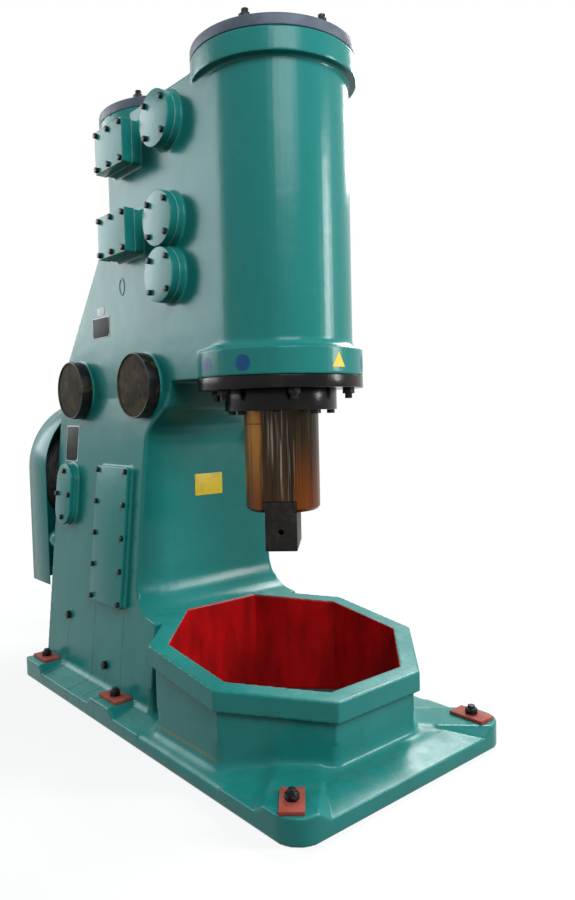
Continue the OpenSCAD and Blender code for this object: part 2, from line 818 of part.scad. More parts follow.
module frame_bosses() {
    for (z = valve_heights) {
        on_left(valve_y, z) translate([0, 0, -cut]) cylinder(r = valve_cover_r, h = valve_boss_h + cut);
        on_right(valve_y, z) translate([0, 0, -cut]) cylinder(r = valve_cover_r, h = valve_boss_h + cut);
    }
    for (z = passage_heights) on_left(passage_cover_y, z) translate([0, 0, -cut])
        linear_extrude(passage_boss_h + cut) round_rect(passage_cover_h, passage_cover_l, cover_corner_r);
    for (y = filter_ys) on_left(y, filter_z) translate([0, 0, -wall_t / 2])
        cylinder(r = filter_r - filter_wall, h = filter_boss_h + wall_t / 2);
    on_flare(inspection_y, inspection_z, -cut) linear_extrude(inspection_pad_h + cut)
        round_rect(inspection_h, inspection_w, cover_corner_r);
    on_flare(bearing_cover_y, bearing_cover_z, -cut) linear_extrude(bearing_boss_h + cut)
        obround(bearing_cover_h, bearing_cover_w);
    for (s = [-1, 1])
        bar_y(back_wall_y - cut, guard_boss_z, guard_boss_r, guard_boss_l + cut, s * guard_boss_x);
}

module crankcase_section() {
    polygon([
        [-side_x(case_floor_z) + wall_t, case_floor_z], [side_x(case_floor_z) - wall_t, case_floor_z],
        [body_r - wall_t, flare_z], [body_r - wall_t, case_roof_z],
        [-body_r + wall_t, case_roof_z], [-body_r + wall_t, flare_z]
    ]);
}

module frame_hollows() {
    at_ram(-cut) linear_extrude(rim_top + 2 * cut) octagon(well_af);
    at_ram(cyl_foot_z - cut) cylinder(r = work_bore_r, h = cyl_top_z);
    at_comp(comp_guide_z) cylinder(r = comp_bore_r, h = comp_top_z);
    at_comp(case_roof_z - cut) cylinder(r = comp_throat_r, h = comp_guide_z - case_roof_z + 2 * cut);
    along_y(ram_y + case_front_y, case_wall_y - case_front_y) crankcase_section();
    along_y(ram_y + case_wall_y + bearing_l, case_rear_y - case_wall_y - bearing_l) crankcase_section();
    bar_y(ram_y + case_wall_y - cut, crank_z, bearing_r, rear_y - case_wall_y + 2 * cut);
    for (z = valve_heights) on_left(valve_y, z, valve_boss_h + cut)
        mirror([0, 0, 1]) cylinder(r = valve_r, h = 2 * (body_r + valve_boss_h + cut));
    for (z = [upper_valve_z, middle_valve_z]) bar_y(ram_y, z, passage_r, cyl_pitch);
    bar_y(ram_y, riser_z, passage_r, riser_y);
    translate([0, ram_y + riser_y, riser_z]) cylinder(r = passage_r, h = lower_valve_z - riser_z);
    for (z = passage_heights) on_left(passage_cover_y, z, passage_boss_h + cut) mirror([0, 0, 1])
        linear_extrude(comp_bore_r + cut) round_rect(passage_cover_h - 4 * bolt_edge,
                                                     passage_cover_l - 4 * bolt_edge, cover_corner_r);
    for (y = filter_ys) on_left(y, filter_z, filter_boss_h + cut)
        mirror([0, 0, 1]) cylinder(r = filter_r - wall_t, h = inlet_d + cut);
    on_flare(inspection_y, inspection_z, inspection_pad_h + cut) mirror([0, 0, 1])
        linear_extrude(2 * wall_t) round_rect(inspection_h - 4 * bolt_edge, inspection_w - 4 * bolt_edge,
                                              cover_corner_r);
    on_flare(bearing_cover_y, bearing_cover_z, bearing_boss_h + cut) mirror([0, 0, 1])
        linear_extrude(2 * wall_t) obround(bearing_cover_h - 8 * bolt_edge, bearing_cover_w - 5 * bolt_edge);
}

module frame_bolt_holes() {
    at_ram(cyl_top_z) on_circle(stud_circle_r, stud_n, upper_stud_turn) bolt_hole(stud_r, stud_sink);
    at_comp(comp_top_z) on_circle(stud_circle_r, stud_n, upper_stud_turn) bolt_hole(stud_r, stud_sink);
    at_ram(cyl_foot_z) mirror([0, 0, 1])
        on_circle(stud_circle_r, stud_n, lower_stud_turn) bolt_hole(stud_r, stud_sink);
    for (z = valve_heights) {
        on_left(valve_y, z, valve_boss_h) valve_bolt_places() bolt_hole(cover_bolt_r, cover_bolt_sink);
        on_right(valve_y, z, valve_boss_h) valve_bolt_places() bolt_hole(cover_bolt_r, cover_bolt_sink);
    }
    for (z = passage_heights) on_left(passage_cover_y, z, passage_boss_h)
        passage_bolt_places() bolt_hole(cover_bolt_r, cover_bolt_sink);
    on_flare(inspection_y, inspection_z, inspection_pad_h)
        inspection_bolt_places() bolt_hole(cover_bolt_r, cover_bolt_sink);
    on_flare(bearing_cover_y, bearing_cover_z, bearing_boss_h)
        bearing_bolt_places() bolt_hole(cover_bolt_r, cover_bolt_sink);
    for (p = plug_places) on_flare(p.x, p.y) bolt_hole(plug_r, cover_bolt_sink);
    translate([0, back_wall_y, crank_z]) rotate([-90, 0, 0])
        on_circle((bearing_cap_r + bearing_r) / 2, cap_bolt_n) bolt_hole(cover_bolt_r, cover_bolt_sink);
    for (s = [-1, 1], y = bolt_ys) translate([s * (base_w / 2 - bolt_inset), ram_y + y, pad_h])
        bolt_hole(anchor_r, pad_h);
    bolt_places() linear_extrude(2 * foot_cove)
        square([plate_w + 2 * slot_gap, plate_l + 2 * slot_gap], center = true);
}

module frame_casting() {
    color(paint) difference() {
        union() {
            base_body();
            collar();
            column();
            intersection() {
                linear_extrude(rim_h) base_plan(cove_sink);
                union() {
                    collar_cove();
                    column_cove();
                }
            }
            cylinder_block();
            frame_bosses();
        }
        frame_hollows();
        frame_bolt_holes();
    }
}

// Cylinder covers with a spigot in the bore
module cylinder_cover(bore_r) {
    difference() {
        union() {
            soft_disc(head_flange_r, cover_t);
            translate([0, 0, -spigot_h]) cylinder(r = bore_r - fit_gap, h = spigot_h);
        }
        translate([0, 0, cover_t]) on_circle(stud_circle_r, stud_n, upper_stud_turn)
            bolt_hole(stud_r, cover_t);
    }
}

module cover_studs() {
    translate([0, 0, cover_t]) on_circle(stud_circle_r, stud_n, upper_stud_turn)
        nut_stud(stud_r, cover_t + stud_sink, stud_end);
}

module working_cover() { color("#4a4955") at_ram(cyl_top_z) cylinder_cover(work_bore_r); }
module working_cover_studs() { color(dark) at_ram(cyl_top_z) cover_studs(); }
module compressor_cover() { color("#4a4955") at_comp(comp_top_z) cylinder_cover(comp_bore_r); }
module compressor_cover_studs() { color(dark) at_comp(comp_top_z) cover_studs(); }

// Guide of the ram: flange under the cylinder, bush inside, gland below
module lower_flange() {
    color("#1b1b1d") at_ram(guide_flange_z) difference() {
        union() {
            cylinder(r = foot_flange_r, h = guide_flange_t);
            cylinder(r = work_bore_r - fit_gap, h = guide_top_z - guide_flange_z);
        }
        translate([0, 0, -cut]) cylinder(r = guide_seat_r, h = guide_top_z);
        mirror([0, 0, 1]) {
            on_circle(stud_circle_r, stud_n, lower_stud_turn) bolt_hole(stud_r, guide_flange_t);
            on_circle(gland_bolt_circle_r, gland_bolt_n) bolt_hole(gland_bolt_r, cover_bolt_sink);
        }
    }
}

module lower_flange_studs() {
    color(dark) at_ram(guide_flange_z) mirror([0, 0, 1])
        on_circle(stud_circle_r, stud_n, lower_stud_turn)
            nut_stud(stud_r, guide_flange_t + stud_sink, stud_end);
}

module guide_bush() {
    color(bronze) at_ram(guide_flange_z) linear_extrude(guide_top_z - guide_flange_z) difference() {
        circle(guide_seat_r - fit_gap);
        ram_section(run_gap);
    }
}

module gland() {
    color("#1b1b1d") at_ram(gland_z) difference() {
        cylinder(r = gland_r, h = gland_h);
        translate([0, 0, gland_h - packing_h]) cylinder(r = packing_r, h = gland_h);
        translate([0, 0, -cut]) linear_extrude(gland_h) ram_section(slot_gap);
        mirror([0, 0, 1]) on_circle(gland_bolt_circle_r, gland_bolt_n) bolt_hole(gland_bolt_r, gland_h);
    }
}

module gland_bolts() {
    color(dark) at_ram(gland_z) mirror([0, 0, 1]) on_circle(gland_bolt_circle_r, gland_bolt_n)
        hex_bolt(gland_bolt_r, gland_h + cover_bolt_sink);
}

module ram_packing() {
    color("#3a352c") at_ram(guide_flange_z - packing_h) linear_extrude(packing_h) difference() {
        circle(packing_r - fit_gap);
        ram_section(run_gap);
    }
}

// The ram: rod with two flats below, piston with rings above, hollow inside
module ram() {
    color("#8a6a45") at_ram() difference() {
        union() {
            intersection() {
                translate([0, 0, ram_foot_z]) linear_extrude(ram_shoulder_z - ram_foot_z) ram_section();
                translate([0, 0, ram_foot_z]) {
                    cylinder(r1 = ram_r - ram_chamfer, r2 = ram_r, h = ram_chamfer);
                    translate([0, 0, ram_chamfer]) cylinder(r = ram_r, h = ram_top_z);
                }
            }
            translate([0, 0, ram_shoulder_z])
                cylinder(r = work_bore_r - run_gap, h = ram_top_z - ram_shoulder_z);
        }
        translate([0, 0, ram_hollow_z]) cylinder(r = ram_hollow_r, h = ram_top_z);
        for (i = [1:3]) translate([0, 0, ram_top_z - i * ram_ring_step])
            ring(work_bore_r + cut, work_bore_r - ring_depth, ram_ring_h);
        rotate(die_turn) translate([0, 0, ram_foot_z]) dovetail_slot();
    }
}

// Slot for the die's dovetail and its key, open to both ends
module dovetail_slot() {
    along_y(-ram_r - cut, 2 * ram_r + 2 * cut) polygon([
        [-die_w / 2, -cut], [die_w / 2, -cut], [die_w / 2, tail_h],
        [-die_w / 2 - tail_lean, tail_h], [-die_w / 2, 0]
    ]);
}

module ram_rings() {
    color(steel) at_ram() for (i = [1:3]) translate([0, 0, ram_top_z - i * ram_ring_step + fit_gap])
        ring(work_bore_r - fit_gap, work_bore_r - ring_depth + fit_gap, ram_ring_h - 2 * fit_gap);
}

module upper_die() {
    color("#3b3836") at_ram(ram_foot_z) rotate(die_turn) difference() {
        union() {
            translate([-die_w / 2, -die_l / 2, -die_h]) cube([die_w, die_l, die_h]);
            intersection() {
                along_y(-die_l / 2, die_l) polygon([
                    [-die_w / 2, -cut], [die_w / 2 - key_w, -cut], [die_w / 2 - key_w, tail_h],
                    [-die_w / 2 - tail_lean, tail_h], [-die_w / 2, 0]
                ]);
                translate([0, 0, -die_h]) cylinder(r = ram_r - run_gap, h = 2 * die_h);
            }
        }
        translate([0, -die_l / 2 - cut, -die_h / 2]) rotate([-90, 0, 0])
            cylinder(r = die_hole_r, h = die_hole_d + cut, $fn = small_fn);
    }
}

module die_key() {
    color(steel) at_ram(ram_foot_z) rotate(die_turn)
        translate([die_w / 2 - key_w, -die_l / 2, 0]) cube([key_w, die_l, tail_h]);
}

// Valve covers on the left side, one at each valve
module valve_cover(z) {
    color(paint) on_left(valve_y, z, valve_boss_h) difference() {
        soft_disc(valve_cover_r, valve_cover_t);
        translate([0, 0, valve_cover_t]) valve_bolt_places() bolt_hole(cover_bolt_r, valve_cover_t);
    }
}

module upper_valve_cover() { valve_cover(upper_valve_z); }
module middle_valve_cover() { valve_cover(middle_valve_z); }
module lower_valve_cover() { valve_cover(lower_valve_z); }

module valve_cover_bolts() {
    color(dark) for (z = valve_heights) on_left(valve_y, z, valve_boss_h + valve_cover_t)
        valve_bolt_places() hex_bolt(cover_bolt_r, valve_cover_t + cover_bolt_sink);
}

// Covers of the cored air passages
module passage_cover(z) {
    color(paint) on_left(passage_cover_y, z, passage_boss_h) difference() {
        linear_extrude(passage_cover_t) round_rect(passage_cover_h, passage_cover_l, cover_corner_r);
        translate([0, 0, passage_cover_t]) passage_bolt_places() bolt_hole(cover_bolt_r, passage_cover_t);
    }
}

module upper_passage_cover() { passage_cover(upper_passage_z); }
module lower_passage_cover() { passage_cover(lower_passage_z); }

module passage_cover_bolts() {
    color(dark) for (z = passage_heights) on_left(passage_cover_y, z, passage_boss_h + passage_cover_t)
        passage_bolt_places() hex_bolt(cover_bolt_r, passage_cover_t + cover_bolt_sink);
}

// Rotary valves: plug with a waist for the air, stem out to the right
module valve_plug(z, stem_x) {
    color(steel) translate([0, ram_y + valve_y, z]) rotate([0, 90, 0]) difference() {
        union() {
            translate([0, 0, -body_r]) cylinder(r = valve_r - fit_gap, h = 2 * body_r);
            cylinder(r = valve_stem_r, h = stem_x);
        }
        for (s = [-1, 1]) translate([s * valve_r, 0, 0])
            cube([valve_r, 2 * valve_r, 4 * passage_r], center = true);
    }
}

module upper_valve() { valve_plug(upper_valve_z, lever_x + lever_t); }
module middle_valve() { valve_plug(middle_valve_z, lever_x + lever_t); }
module lower_valve() { valve_plug(lower_valve_z, lever_x + lever_t); }

module valve_glands() {
    color(paint) for (z = valve_heights) on_right(valve_y, z, valve_boss_h) difference() {
        ring(valve_cover_r, valve_stem_r + fit_gap, valve_cover_t);
        translate([0, 0, valve_cover_t]) valve_bolt_places() bolt_hole(cover_bolt_r, valve_cover_t);
    }
}

module valve_gland_bolts() {
    color(dark) for (z = valve_heights) on_right(valve_y, z, valve_boss_h + valve_cover_t)
        valve_bolt_places() hex_bolt(cover_bolt_r, valve_cover_t + cover_bolt_sink);
}

// Levers on the valve stems, drawn in the Y-Z plane about the stem
module on_stem(z, x) {
    translate([x, ram_y + valve_y, z]) rotate([90, 0, 90]) children();
}

module arm_outline(l, turn, end_r) {
    rotate(turn) {
        translate([0, -lever_w / 2]) square([l, lever_w]);
        translate([l, 0]) circle(end_r);
    }
    circle(hub_r);
}

module arm_pin() {
    translate([-arm_l, 0, lever_t]) cylinder(r = link_pin_r, h = link_t + lever_gap);
}

module hand_lever() {
    color(dark) on_stem(lower_valve_z, lever_x) {
        linear_extrude(lever_t) difference() {
            union() {
                arm_outline(hand_lever_l - grip_l, -90, lever_w / 2);
                arm_outline(arm_l, 180, lever_w / 2);
            }
            circle(valve_stem_r + fit_gap);
        }
        translate([0, -hand_lever_l, lever_t / 2]) rotate([-90, 0, 0])
            cylinder(r = grip_r / 2, h = grip_l);
        arm_pin();
    }
}

module lever_grip() {
    color("#1a1a1a") on_stem(lower_valve_z, lever_x)
        translate([0, -hand_lever_l, lever_t / 2]) rotate([-90, 0, 0])
            ring(grip_r, grip_r / 2 + fit_gap, grip_l - lever_w);
}

module upper_valve_arm() {
    color(dark) on_stem(upper_valve_z, lever_x) {
        linear_extrude(lever_t) difference() {
            arm_outline(arm_l, 180, lever_w / 2);
            circle(valve_stem_r + fit_gap);
        }
        arm_pin();
    }
}

module valve_link() {
    color(dark) on_stem(lower_valve_z, link_x) translate([-arm_l, 0, 0]) linear_extrude(link_t) difference() {
        union() {
            translate([-lever_w / 4, 0]) square([lever_w / 2, upper_valve_z - lower_valve_z]);
            for (z = [0, upper_valve_z - lower_valve_z]) translate([0, z]) circle(lever_w / 2);
        }
        for (z = [0, upper_valve_z - lower_valve_z]) translate([0, z]) circle(link_pin_r + run_gap);
    }
}

module middle_valve_lever() {
    color(dark) on_stem(middle_valve_z, lever_x) linear_extrude(lever_t) difference() {
        arm_outline(middle_lever_l, 0, lever_w / 2);
        circle(valve_stem_r + fit_gap);
    }
}

// Air filters: drum on the side, open to the inlet, and a screen in its mouth
module filter_housing(y) {
    color("#151517") on_left(y, filter_z, filter_boss_h) difference() {
        ring(filter_r, filter_r - wall_t, filter_h);
        translate([0, 0, filter_wall]) cylinder(r = filter_r - filter_wall, h = filter_h);
    }
}

module filter_screen(y) {
    color("#7d6a45") on_left(y, filter_z, filter_boss_h + filter_h - screen_t - screen_sink)
        cylinder(r = filter_r - filter_wall - fit_gap, h = screen_t);
}

module front_filter_housing() { filter_housing(front_filter_y); }
module rear_filter_housing() { filter_housing(rear_filter_y); }
module front_filter_screen() { filter_screen(front_filter_y); }
module rear_filter_screen() { filter_screen(rear_filter_y); }

module inspection_cover() {
    color(paint) on_flare(inspection_y, inspection_z, inspection_pad_h) difference() {
        linear_extrude(inspection_t) round_rect(inspection_h, inspection_w, cover_corner_r);
        translate([0, 0, inspection_t]) inspection_bolt_places() bolt_hole(cover_bolt_r, inspection_t);
    }
}

module inspection_cover_bolts() {
    color(dark) on_flare(inspection_y, inspection_z, inspection_pad_h + inspection_t)
        inspection_bolt_places() hex_bolt(cover_bolt_r, inspection_t + cover_bolt_sink);
}

module bearing_cover() {
    color(paint) on_flare(bearing_cover_y, bearing_cover_z, bearing_boss_h) difference() {
        linear_extrude(bearing_cover_t) obround(bearing_cover_h, bearing_cover_w);
        translate([0, 0, bearing_cover_t]) bearing_bolt_places() bolt_hole(cover_bolt_r, bearing_cover_t);
    }
}

module bearing_cover_bolts() {
    color(dark) on_flare(bearing_cover_y, bearing_cover_z, bearing_boss_h + bearing_cover_t)
        bearing_bolt_places() hex_bolt(cover_bolt_r, bearing_cover_t + cover_bolt_sink);
}

module drain_plugs() {
    color(dark) for (p = plug_places) on_flare(p.x, p.y) hex_bolt(plug_r, cover_bolt_sink);
}

// Crankshaft with its disc, crankpin and collars, at the bottom of the stroke
module crankshaft() {
    color(steel) difference() {
        union() {
            bar_y(disc_y, crank_z, crank_disc_r, crank_disc_t);
            bar_y(disc_y, crank_z, shaft_r, back_wall_y + bearing_cap_t - disc_y);
            bar_y(disc_y, crank_z, shaft_end_r, flywheel_y + flywheel_w - disc_y);
            bar_y(pin_front_y, crankpin_z, crankpin_r, disc_y - pin_front_y);
            bar_y(pin_front_y, crankpin_z, crankpin_r + crankpin_collar_h, crankpin_collar_t);
            bar_y(rod_back_y + slot_gap, crankpin_z, crankpin_r + crankpin_collar_h, crank_gap);
        }
        bar_y(pin_front_y - cut, crank_z - throw / 2, oil_plug_r + fit_gap, oil_plug_l + cut);
        translate([-flywheel_key_w / 2, flywheel_y, crank_z + shaft_end_r - flywheel_key_h / 2])
            cube([flywheel_key_w, flywheel_w + cut, flywheel_key_h]);
    }
}

module crankpin_plug() {
    color(bronze) bar_y(pin_front_y, crank_z - throw / 2, oil_plug_r, oil_plug_l);
}

module main_bearings() {
    color(bronze) for (y = [case_wall_y, case_rear_y])
        translate([0, ram_y + y, crank_z]) rotate([-90, 0, 0])
            ring(bearing_r - fit_gap, shaft_r + fit_gap, bearing_l);
}

module rear_bearing_cap() {
    color(paint) translate([0, back_wall_y, crank_z]) rotate([-90, 0, 0]) difference() {
        ring(bearing_cap_r, shaft_r + run_gap, bearing_cap_t);
        translate([0, 0, bearing_cap_t]) on_circle((bearing_cap_r + bearing_r) / 2, cap_bolt_n)
            bolt_hole(cover_bolt_r, bearing_cap_t);
    }
}

module bearing_cap_bolts() {
    color(dark) translate([0, back_wall_y + bearing_cap_t, crank_z]) rotate([-90, 0, 0])
        on_circle((bearing_cap_r + bearing_r) / 2, cap_bolt_n)
            hex_bolt(cover_bolt_r, bearing_cap_t + cover_bolt_sink);
}

// Connecting rod, split at the crankpin
module big_end_section() {
    circle(big_end_r);
    translate([-big_end_w, -big_end_lug]) square([2 * big_end_w, 2 * big_end_lug]);
}

module big_end(upper) {
    translate([0, 0, crankpin_z]) along_y(rod_front_y, rod_t) difference() {
        intersection() {
            big_end_section();
            translate([-big_end_w, upper ? 0 : -2 * big_end_w]) square(2 * big_end_w);
        }
        circle(crankpin_r + crankpin_bush_t + fit_gap);
    }
}

module rod_bolt_places() {
    for (s = [-1, 1]) translate([s * big_bolt_x, comp_y, crankpin_z - big_end_lug])
        mirror([0, 0, 1]) children();
}

module connecting_rod() {
    color("#6d7175") difference() {
        union() {
            big_end(true);
            translate([0, 0, crankpin_z]) along_y(comp_y - rod_t / 3, 2 * rod_t / 3) difference() {
                translate([-rod_w / 2, 0]) square([rod_w, rod_l]);
                circle(big_end_r - crankpin_bush_t);
            }
            bar_y(rod_front_y, wrist_z, small_end_r, rod_t);
        }
        bar_y(rod_front_y - cut, wrist_z, wrist_pin_r + fit_gap, rod_t + 2 * cut);
        rod_bolt_places() bolt_hole(rod_bolt_r, rod_bolt_l);
        for (s = [0, 1]) translate([0, comp_y, 0]) mirror([0, s, 0])
            translate([0, rod_t / 3 - flute_d, crankpin_z + big_end_w]) along_y(0, rod_t)
                translate([-flute_w / 2, flute_w / 2])
                    square([flute_w, rod_l - big_end_w - small_end_r - flute_w]);
    }
}

module rod_cap() {
    color("#6d7175") difference() {
        big_end(false);
        rod_bolt_places() bolt_hole(rod_bolt_r, rod_bolt_l);
    }
}

module rod_bolts() { color(dark) rod_bolt_places() hex_bolt(rod_bolt_r, rod_bolt_l - cut); }

module crankpin_bush() {
    color(bronze) translate([0, rod_front_y, crankpin_z]) rotate([-90, 0, 0])
        ring(crankpin_r + crankpin_bush_t, crankpin_r + fit_gap, rod_t);
}

module wrist_pin() { color(steel) bar_y(comp_y - wrist_pin_l, wrist_z, wrist_pin_r, 2 * wrist_pin_l); }

// Compressor piston: hollow trunk below, ringed head above, slotted bosses for the wrist pin
module compressor_piston() {
    color(steel) at_comp() difference() {
        union() {
            translate([0, 0, trunk_z]) ring(trunk_r - run_gap, trunk_in_r, trunk_l);
            translate([0, 0, head_z]) cylinder(r = comp_bore_r - run_gap, h = piston_head_h);
            intersection() {
                translate([0, 0, wrist_z - pin_boss_h / 2]) ring(trunk_r - run_gap, wrist_pin_r, pin_boss_h);
                for (s = [-1, 1]) translate([0, s * (pin_boss_y + trunk_r / 2), wrist_z])
                    cube([2 * trunk_r, trunk_r, pin_boss_h], center = true);
            }
        }
        translate([0, 0, wrist_z]) cube([2 * (throw + wrist_pin_r + slot_gap), 2 * (wrist_pin_l + slot_gap),
                                         2 * (wrist_pin_r + slot_gap)], center = true);
        for (i = [0, 1]) translate([0, 0, head_z + piston_head_h / 4 + i * piston_ring_step])
            ring(comp_bore_r + cut, comp_bore_r - ring_depth, piston_ring_h);
    }
}

module piston_rings() {
    color(steel) at_comp() for (i = [0, 1])
        translate([0, 0, head_z + piston_head_h / 4 + i * piston_ring_step + fit_gap])
            ring(comp_bore_r - fit_gap, comp_bore_r - ring_depth + fit_gap, piston_ring_h - 2 * fit_gap);
}

module compressor_guide() {
    color(bronze) at_comp(comp_guide_z) ring(comp_bore_r - fit_gap, trunk_r, comp_guide_l);
}

// Flywheel with belt grooves, keyed on the shaft
module flywheel() {
    groove_step = flywheel_w / (groove_n + 0.5);
    hub_l = flywheel_w;
    color("#33363a") translate([0, flywheel_y, crank_z]) rotate([-90, 0, 0]) difference() {
        rotate_extrude() difference() {
            translate([shaft_end_r + fit_gap, 0]) square([flywheel_r - shaft_end_r - fit_gap, hub_l]);
            for (s = [0, 1]) translate([shaft_r * 1.6, s * (flywheel_w * 2 / 3)])
                square([flywheel_r - shaft_r * 1.6 - 2.5 * groove_d, flywheel_w / 3]);
            for (i = [0:groove_n - 1]) translate([flywheel_r, (i + 0.75) * groove_step]) polygon([
                [cut, -groove_step * 0.4], [cut, groove_step * 0.4],
                [-groove_d, groove_step * 0.2], [-groove_d, -groove_step * 0.2]
            ]);
        }
        translate([-flywheel_key_w / 2 - fit_gap, -shaft_end_r - flywheel_key_h / 2 - fit_gap, -cut])
            cube([flywheel_key_w + 2 * fit_gap, flywheel_key_h, flywheel_w + 2 * cut]);
    }
}

module flywheel_key() {
    color(steel) translate([-flywheel_key_w / 2 + fit_gap, flywheel_y,
                            crank_z + shaft_end_r - flywheel_key_h / 2 + fit_gap])
        cube([flywheel_key_w - 2 * fit_gap, flywheel_w, flywheel_key_h - 2 * fit_gap]);
}

// Belt guard: arched sheet hood with a back, open to the column and below
module guard_outline(inset) {
    translate([0, guard_arch_z]) circle(guard_r - inset);
    translate([-guard_r + inset, guard_foot_z]) square([2 * (guard_r - inset), guard_arch_z - guard_foot_z]);
}

module belt_guard() {
    color(paint) difference() {
        along_y(ram_y + guard_front_y, guard_back_y - guard_front_y) guard_outline(0);
        along_y(ram_y + guard_front_y - cut, guard_back_y - guard_front_y + cut - guard_t) union() {
            guard_outline(guard_t);
            translate([-guard_r + guard_t, guard_foot_z - cut])
                square([2 * (guard_r - guard_t), guard_arch_z - guard_foot_z]);
        }
    }
}

module guard_brackets() {
    boss_face_y = back_wall_y + guard_boss_l;
    guard_in_x = guard_r - guard_t;
    roof_z = guard_arch_z + guard_r - guard_t;
    color(dark) {
        for (s = [0, 1]) mirror([s, 0, 0]) translate([0, 0, guard_boss_z - bracket_h / 2]) {
            translate([guard_boss_x - bracket_h / 2, boss_face_y, 0])
                cube([guard_in_x - guard_boss_x + bracket_h / 2, bracket_t, bracket_h]);
            translate([guard_in_x - bracket_t, boss_face_y, 0]) cube([bracket_t, bracket_l, bracket_h]);
        }
        translate([-bracket_h / 2, back_wall_y, roof_z - bracket_foot - bracket_t * 2])
            cube([bracket_h, bracket_t, bracket_foot + bracket_t]);
        intersection() {
            translate([-bracket_h / 2, back_wall_y, roof_z - bracket_t * 2])
                cube([bracket_h, guard_front_y - rear_y + bracket_l, bracket_t * 2]);
            along_y(back_wall_y, guard_back_y - rear_y) guard_outline(guard_t);
        }
    }
}

// Foundation bolts with their turned plates, three on each side
module bolt_places() {
    for (s = [-1, 1], i = [0:2])
        translate([s * (base_w / 2 - bolt_inset), ram_y + bolt_ys[i], pad_h - seat_d])
            rotate(s < 0 && i == 0 ? plate_turn : 0) children();
}

module foundation_bolts() {
    color(dark) bolt_places() translate([0, 0, plate_t])
        nut_stud(anchor_r, pad_h - seat_d + plate_t - cut, anchor_end);
}

module bolt_plates() {
    color("#9c4a3c") bolt_places() linear_extrude(plate_t) difference() {
        square([plate_w, plate_l], center = true);
        circle(anchor_r + bolt_gap, $fn = small_fn);
    }
}

frame_casting();
working_cover();
working_cover_studs();
compressor_cover();
compressor_cover_studs();
lower_flange();
lower_flange_studs();
guide_bush();
gland();
gland_bolts();
ram_packing();
ram();
ram_rings();
upper_die();
die_key();
upper_valve_cover();
middle_valve_cover();
lower_valve_cover();
valve_cover_bolts();
upper_passage_cover();
lower_passage_cover();
passage_cover_bolts();
upper_valve();
middle_valve();
lower_valve();
valve_glands();
valve_gland_bolts();
hand_lever();
lever_grip();
upper_valve_arm();
valve_link();
middle_valve_lever();
front_filter_housing();
rear_filter_housing();
front_filter_screen();
rear_filter_screen();
inspection_cover();
inspection_cover_bolts();
bearing_cover();
bearing_cover_bolts();
drain_plugs();
crankshaft();
main_bearings();
rear_bearing_cap();
bearing_cap_bolts();
connecting_rod();
rod_cap();
rod_bolts();
crankpin_bush();
wrist_pin();
crankpin_plug();
compressor_piston();
piston_rings();
compressor_guide();
flywheel();
flywheel_key();
belt_guard();
guard_brackets();
foundation_bolts();
bolt_plates();
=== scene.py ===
"""Pneumatic forging hammer: its castings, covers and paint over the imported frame, in metres."""

import json
import math

import bpy
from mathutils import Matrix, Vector


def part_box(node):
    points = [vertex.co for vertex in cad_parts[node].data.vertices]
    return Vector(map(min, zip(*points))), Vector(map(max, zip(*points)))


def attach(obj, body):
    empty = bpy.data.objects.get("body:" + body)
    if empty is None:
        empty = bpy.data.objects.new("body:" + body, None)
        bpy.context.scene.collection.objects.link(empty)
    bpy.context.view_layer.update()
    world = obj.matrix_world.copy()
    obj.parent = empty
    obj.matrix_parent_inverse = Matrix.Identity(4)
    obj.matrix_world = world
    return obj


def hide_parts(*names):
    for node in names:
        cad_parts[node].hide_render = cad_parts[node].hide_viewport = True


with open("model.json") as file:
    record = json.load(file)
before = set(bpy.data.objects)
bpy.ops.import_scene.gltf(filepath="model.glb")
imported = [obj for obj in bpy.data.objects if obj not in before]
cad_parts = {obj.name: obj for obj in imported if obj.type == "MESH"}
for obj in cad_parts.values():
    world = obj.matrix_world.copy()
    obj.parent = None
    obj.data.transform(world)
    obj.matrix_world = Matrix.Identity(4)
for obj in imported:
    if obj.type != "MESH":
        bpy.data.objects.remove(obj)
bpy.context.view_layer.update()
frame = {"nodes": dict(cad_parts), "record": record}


# Frame casting: base, collar, column and both cylinders are one sand casting in grey iron, with edges and
# corners rounded as the mould leaves them. It is filled, rubbed down and sprayed in green gloss enamel,
# and the well inside the collar is brushed red.
RAM_Y = -0.5615
MOULD_GRAIN = 0.005
MOULD_ROUNDING = 4
THROAT_ROUNDING = 40
COVE_ROUNDING = 130
COVE_REACH = (-0.02, 0.095)
COVE_RISE = 0.075
THROAT_EDGE_X = 0.26
THROAT_EDGE_Y = (-0.25, 0.16)
THROAT_EDGE_Z = (0.55, 1.52)
CASTING_TRIANGLES = 185000
WELL_REACH = 0.484
WELL_TOP_Z = 0.6
COLLAR_REACH = 0.538
COLLAR_FOOT_Z = 0.112
COLLAR_LEFT_X = (-0.52, -0.50)
COLLAR_LEFT_HALF = (0.21, 0.22)
COLUMN_LEFT_X = (-0.31, -0.30)
OIL_RUNS = [(0.7335, 0.335), (0.2945, 0.172), (0.142, 0.487), (0.441, 0.487)]
ENAMEL = (0.010, 0.190, 0.174, 1)
ENAMEL_CHALKY = (0.026, 0.220, 0.200, 1)
ENAMEL_GRIMY = (0.026, 0.085, 0.070, 1)
OCHRE_DUST = (0.200, 0.170, 0.080, 1)
OIL = (0.010, 0.016, 0.013, 1)
WELL_RED = (0.400, 0.005, 0.006, 1)
WELL_RED_DEEP = (0.230, 0.004, 0.005, 1)


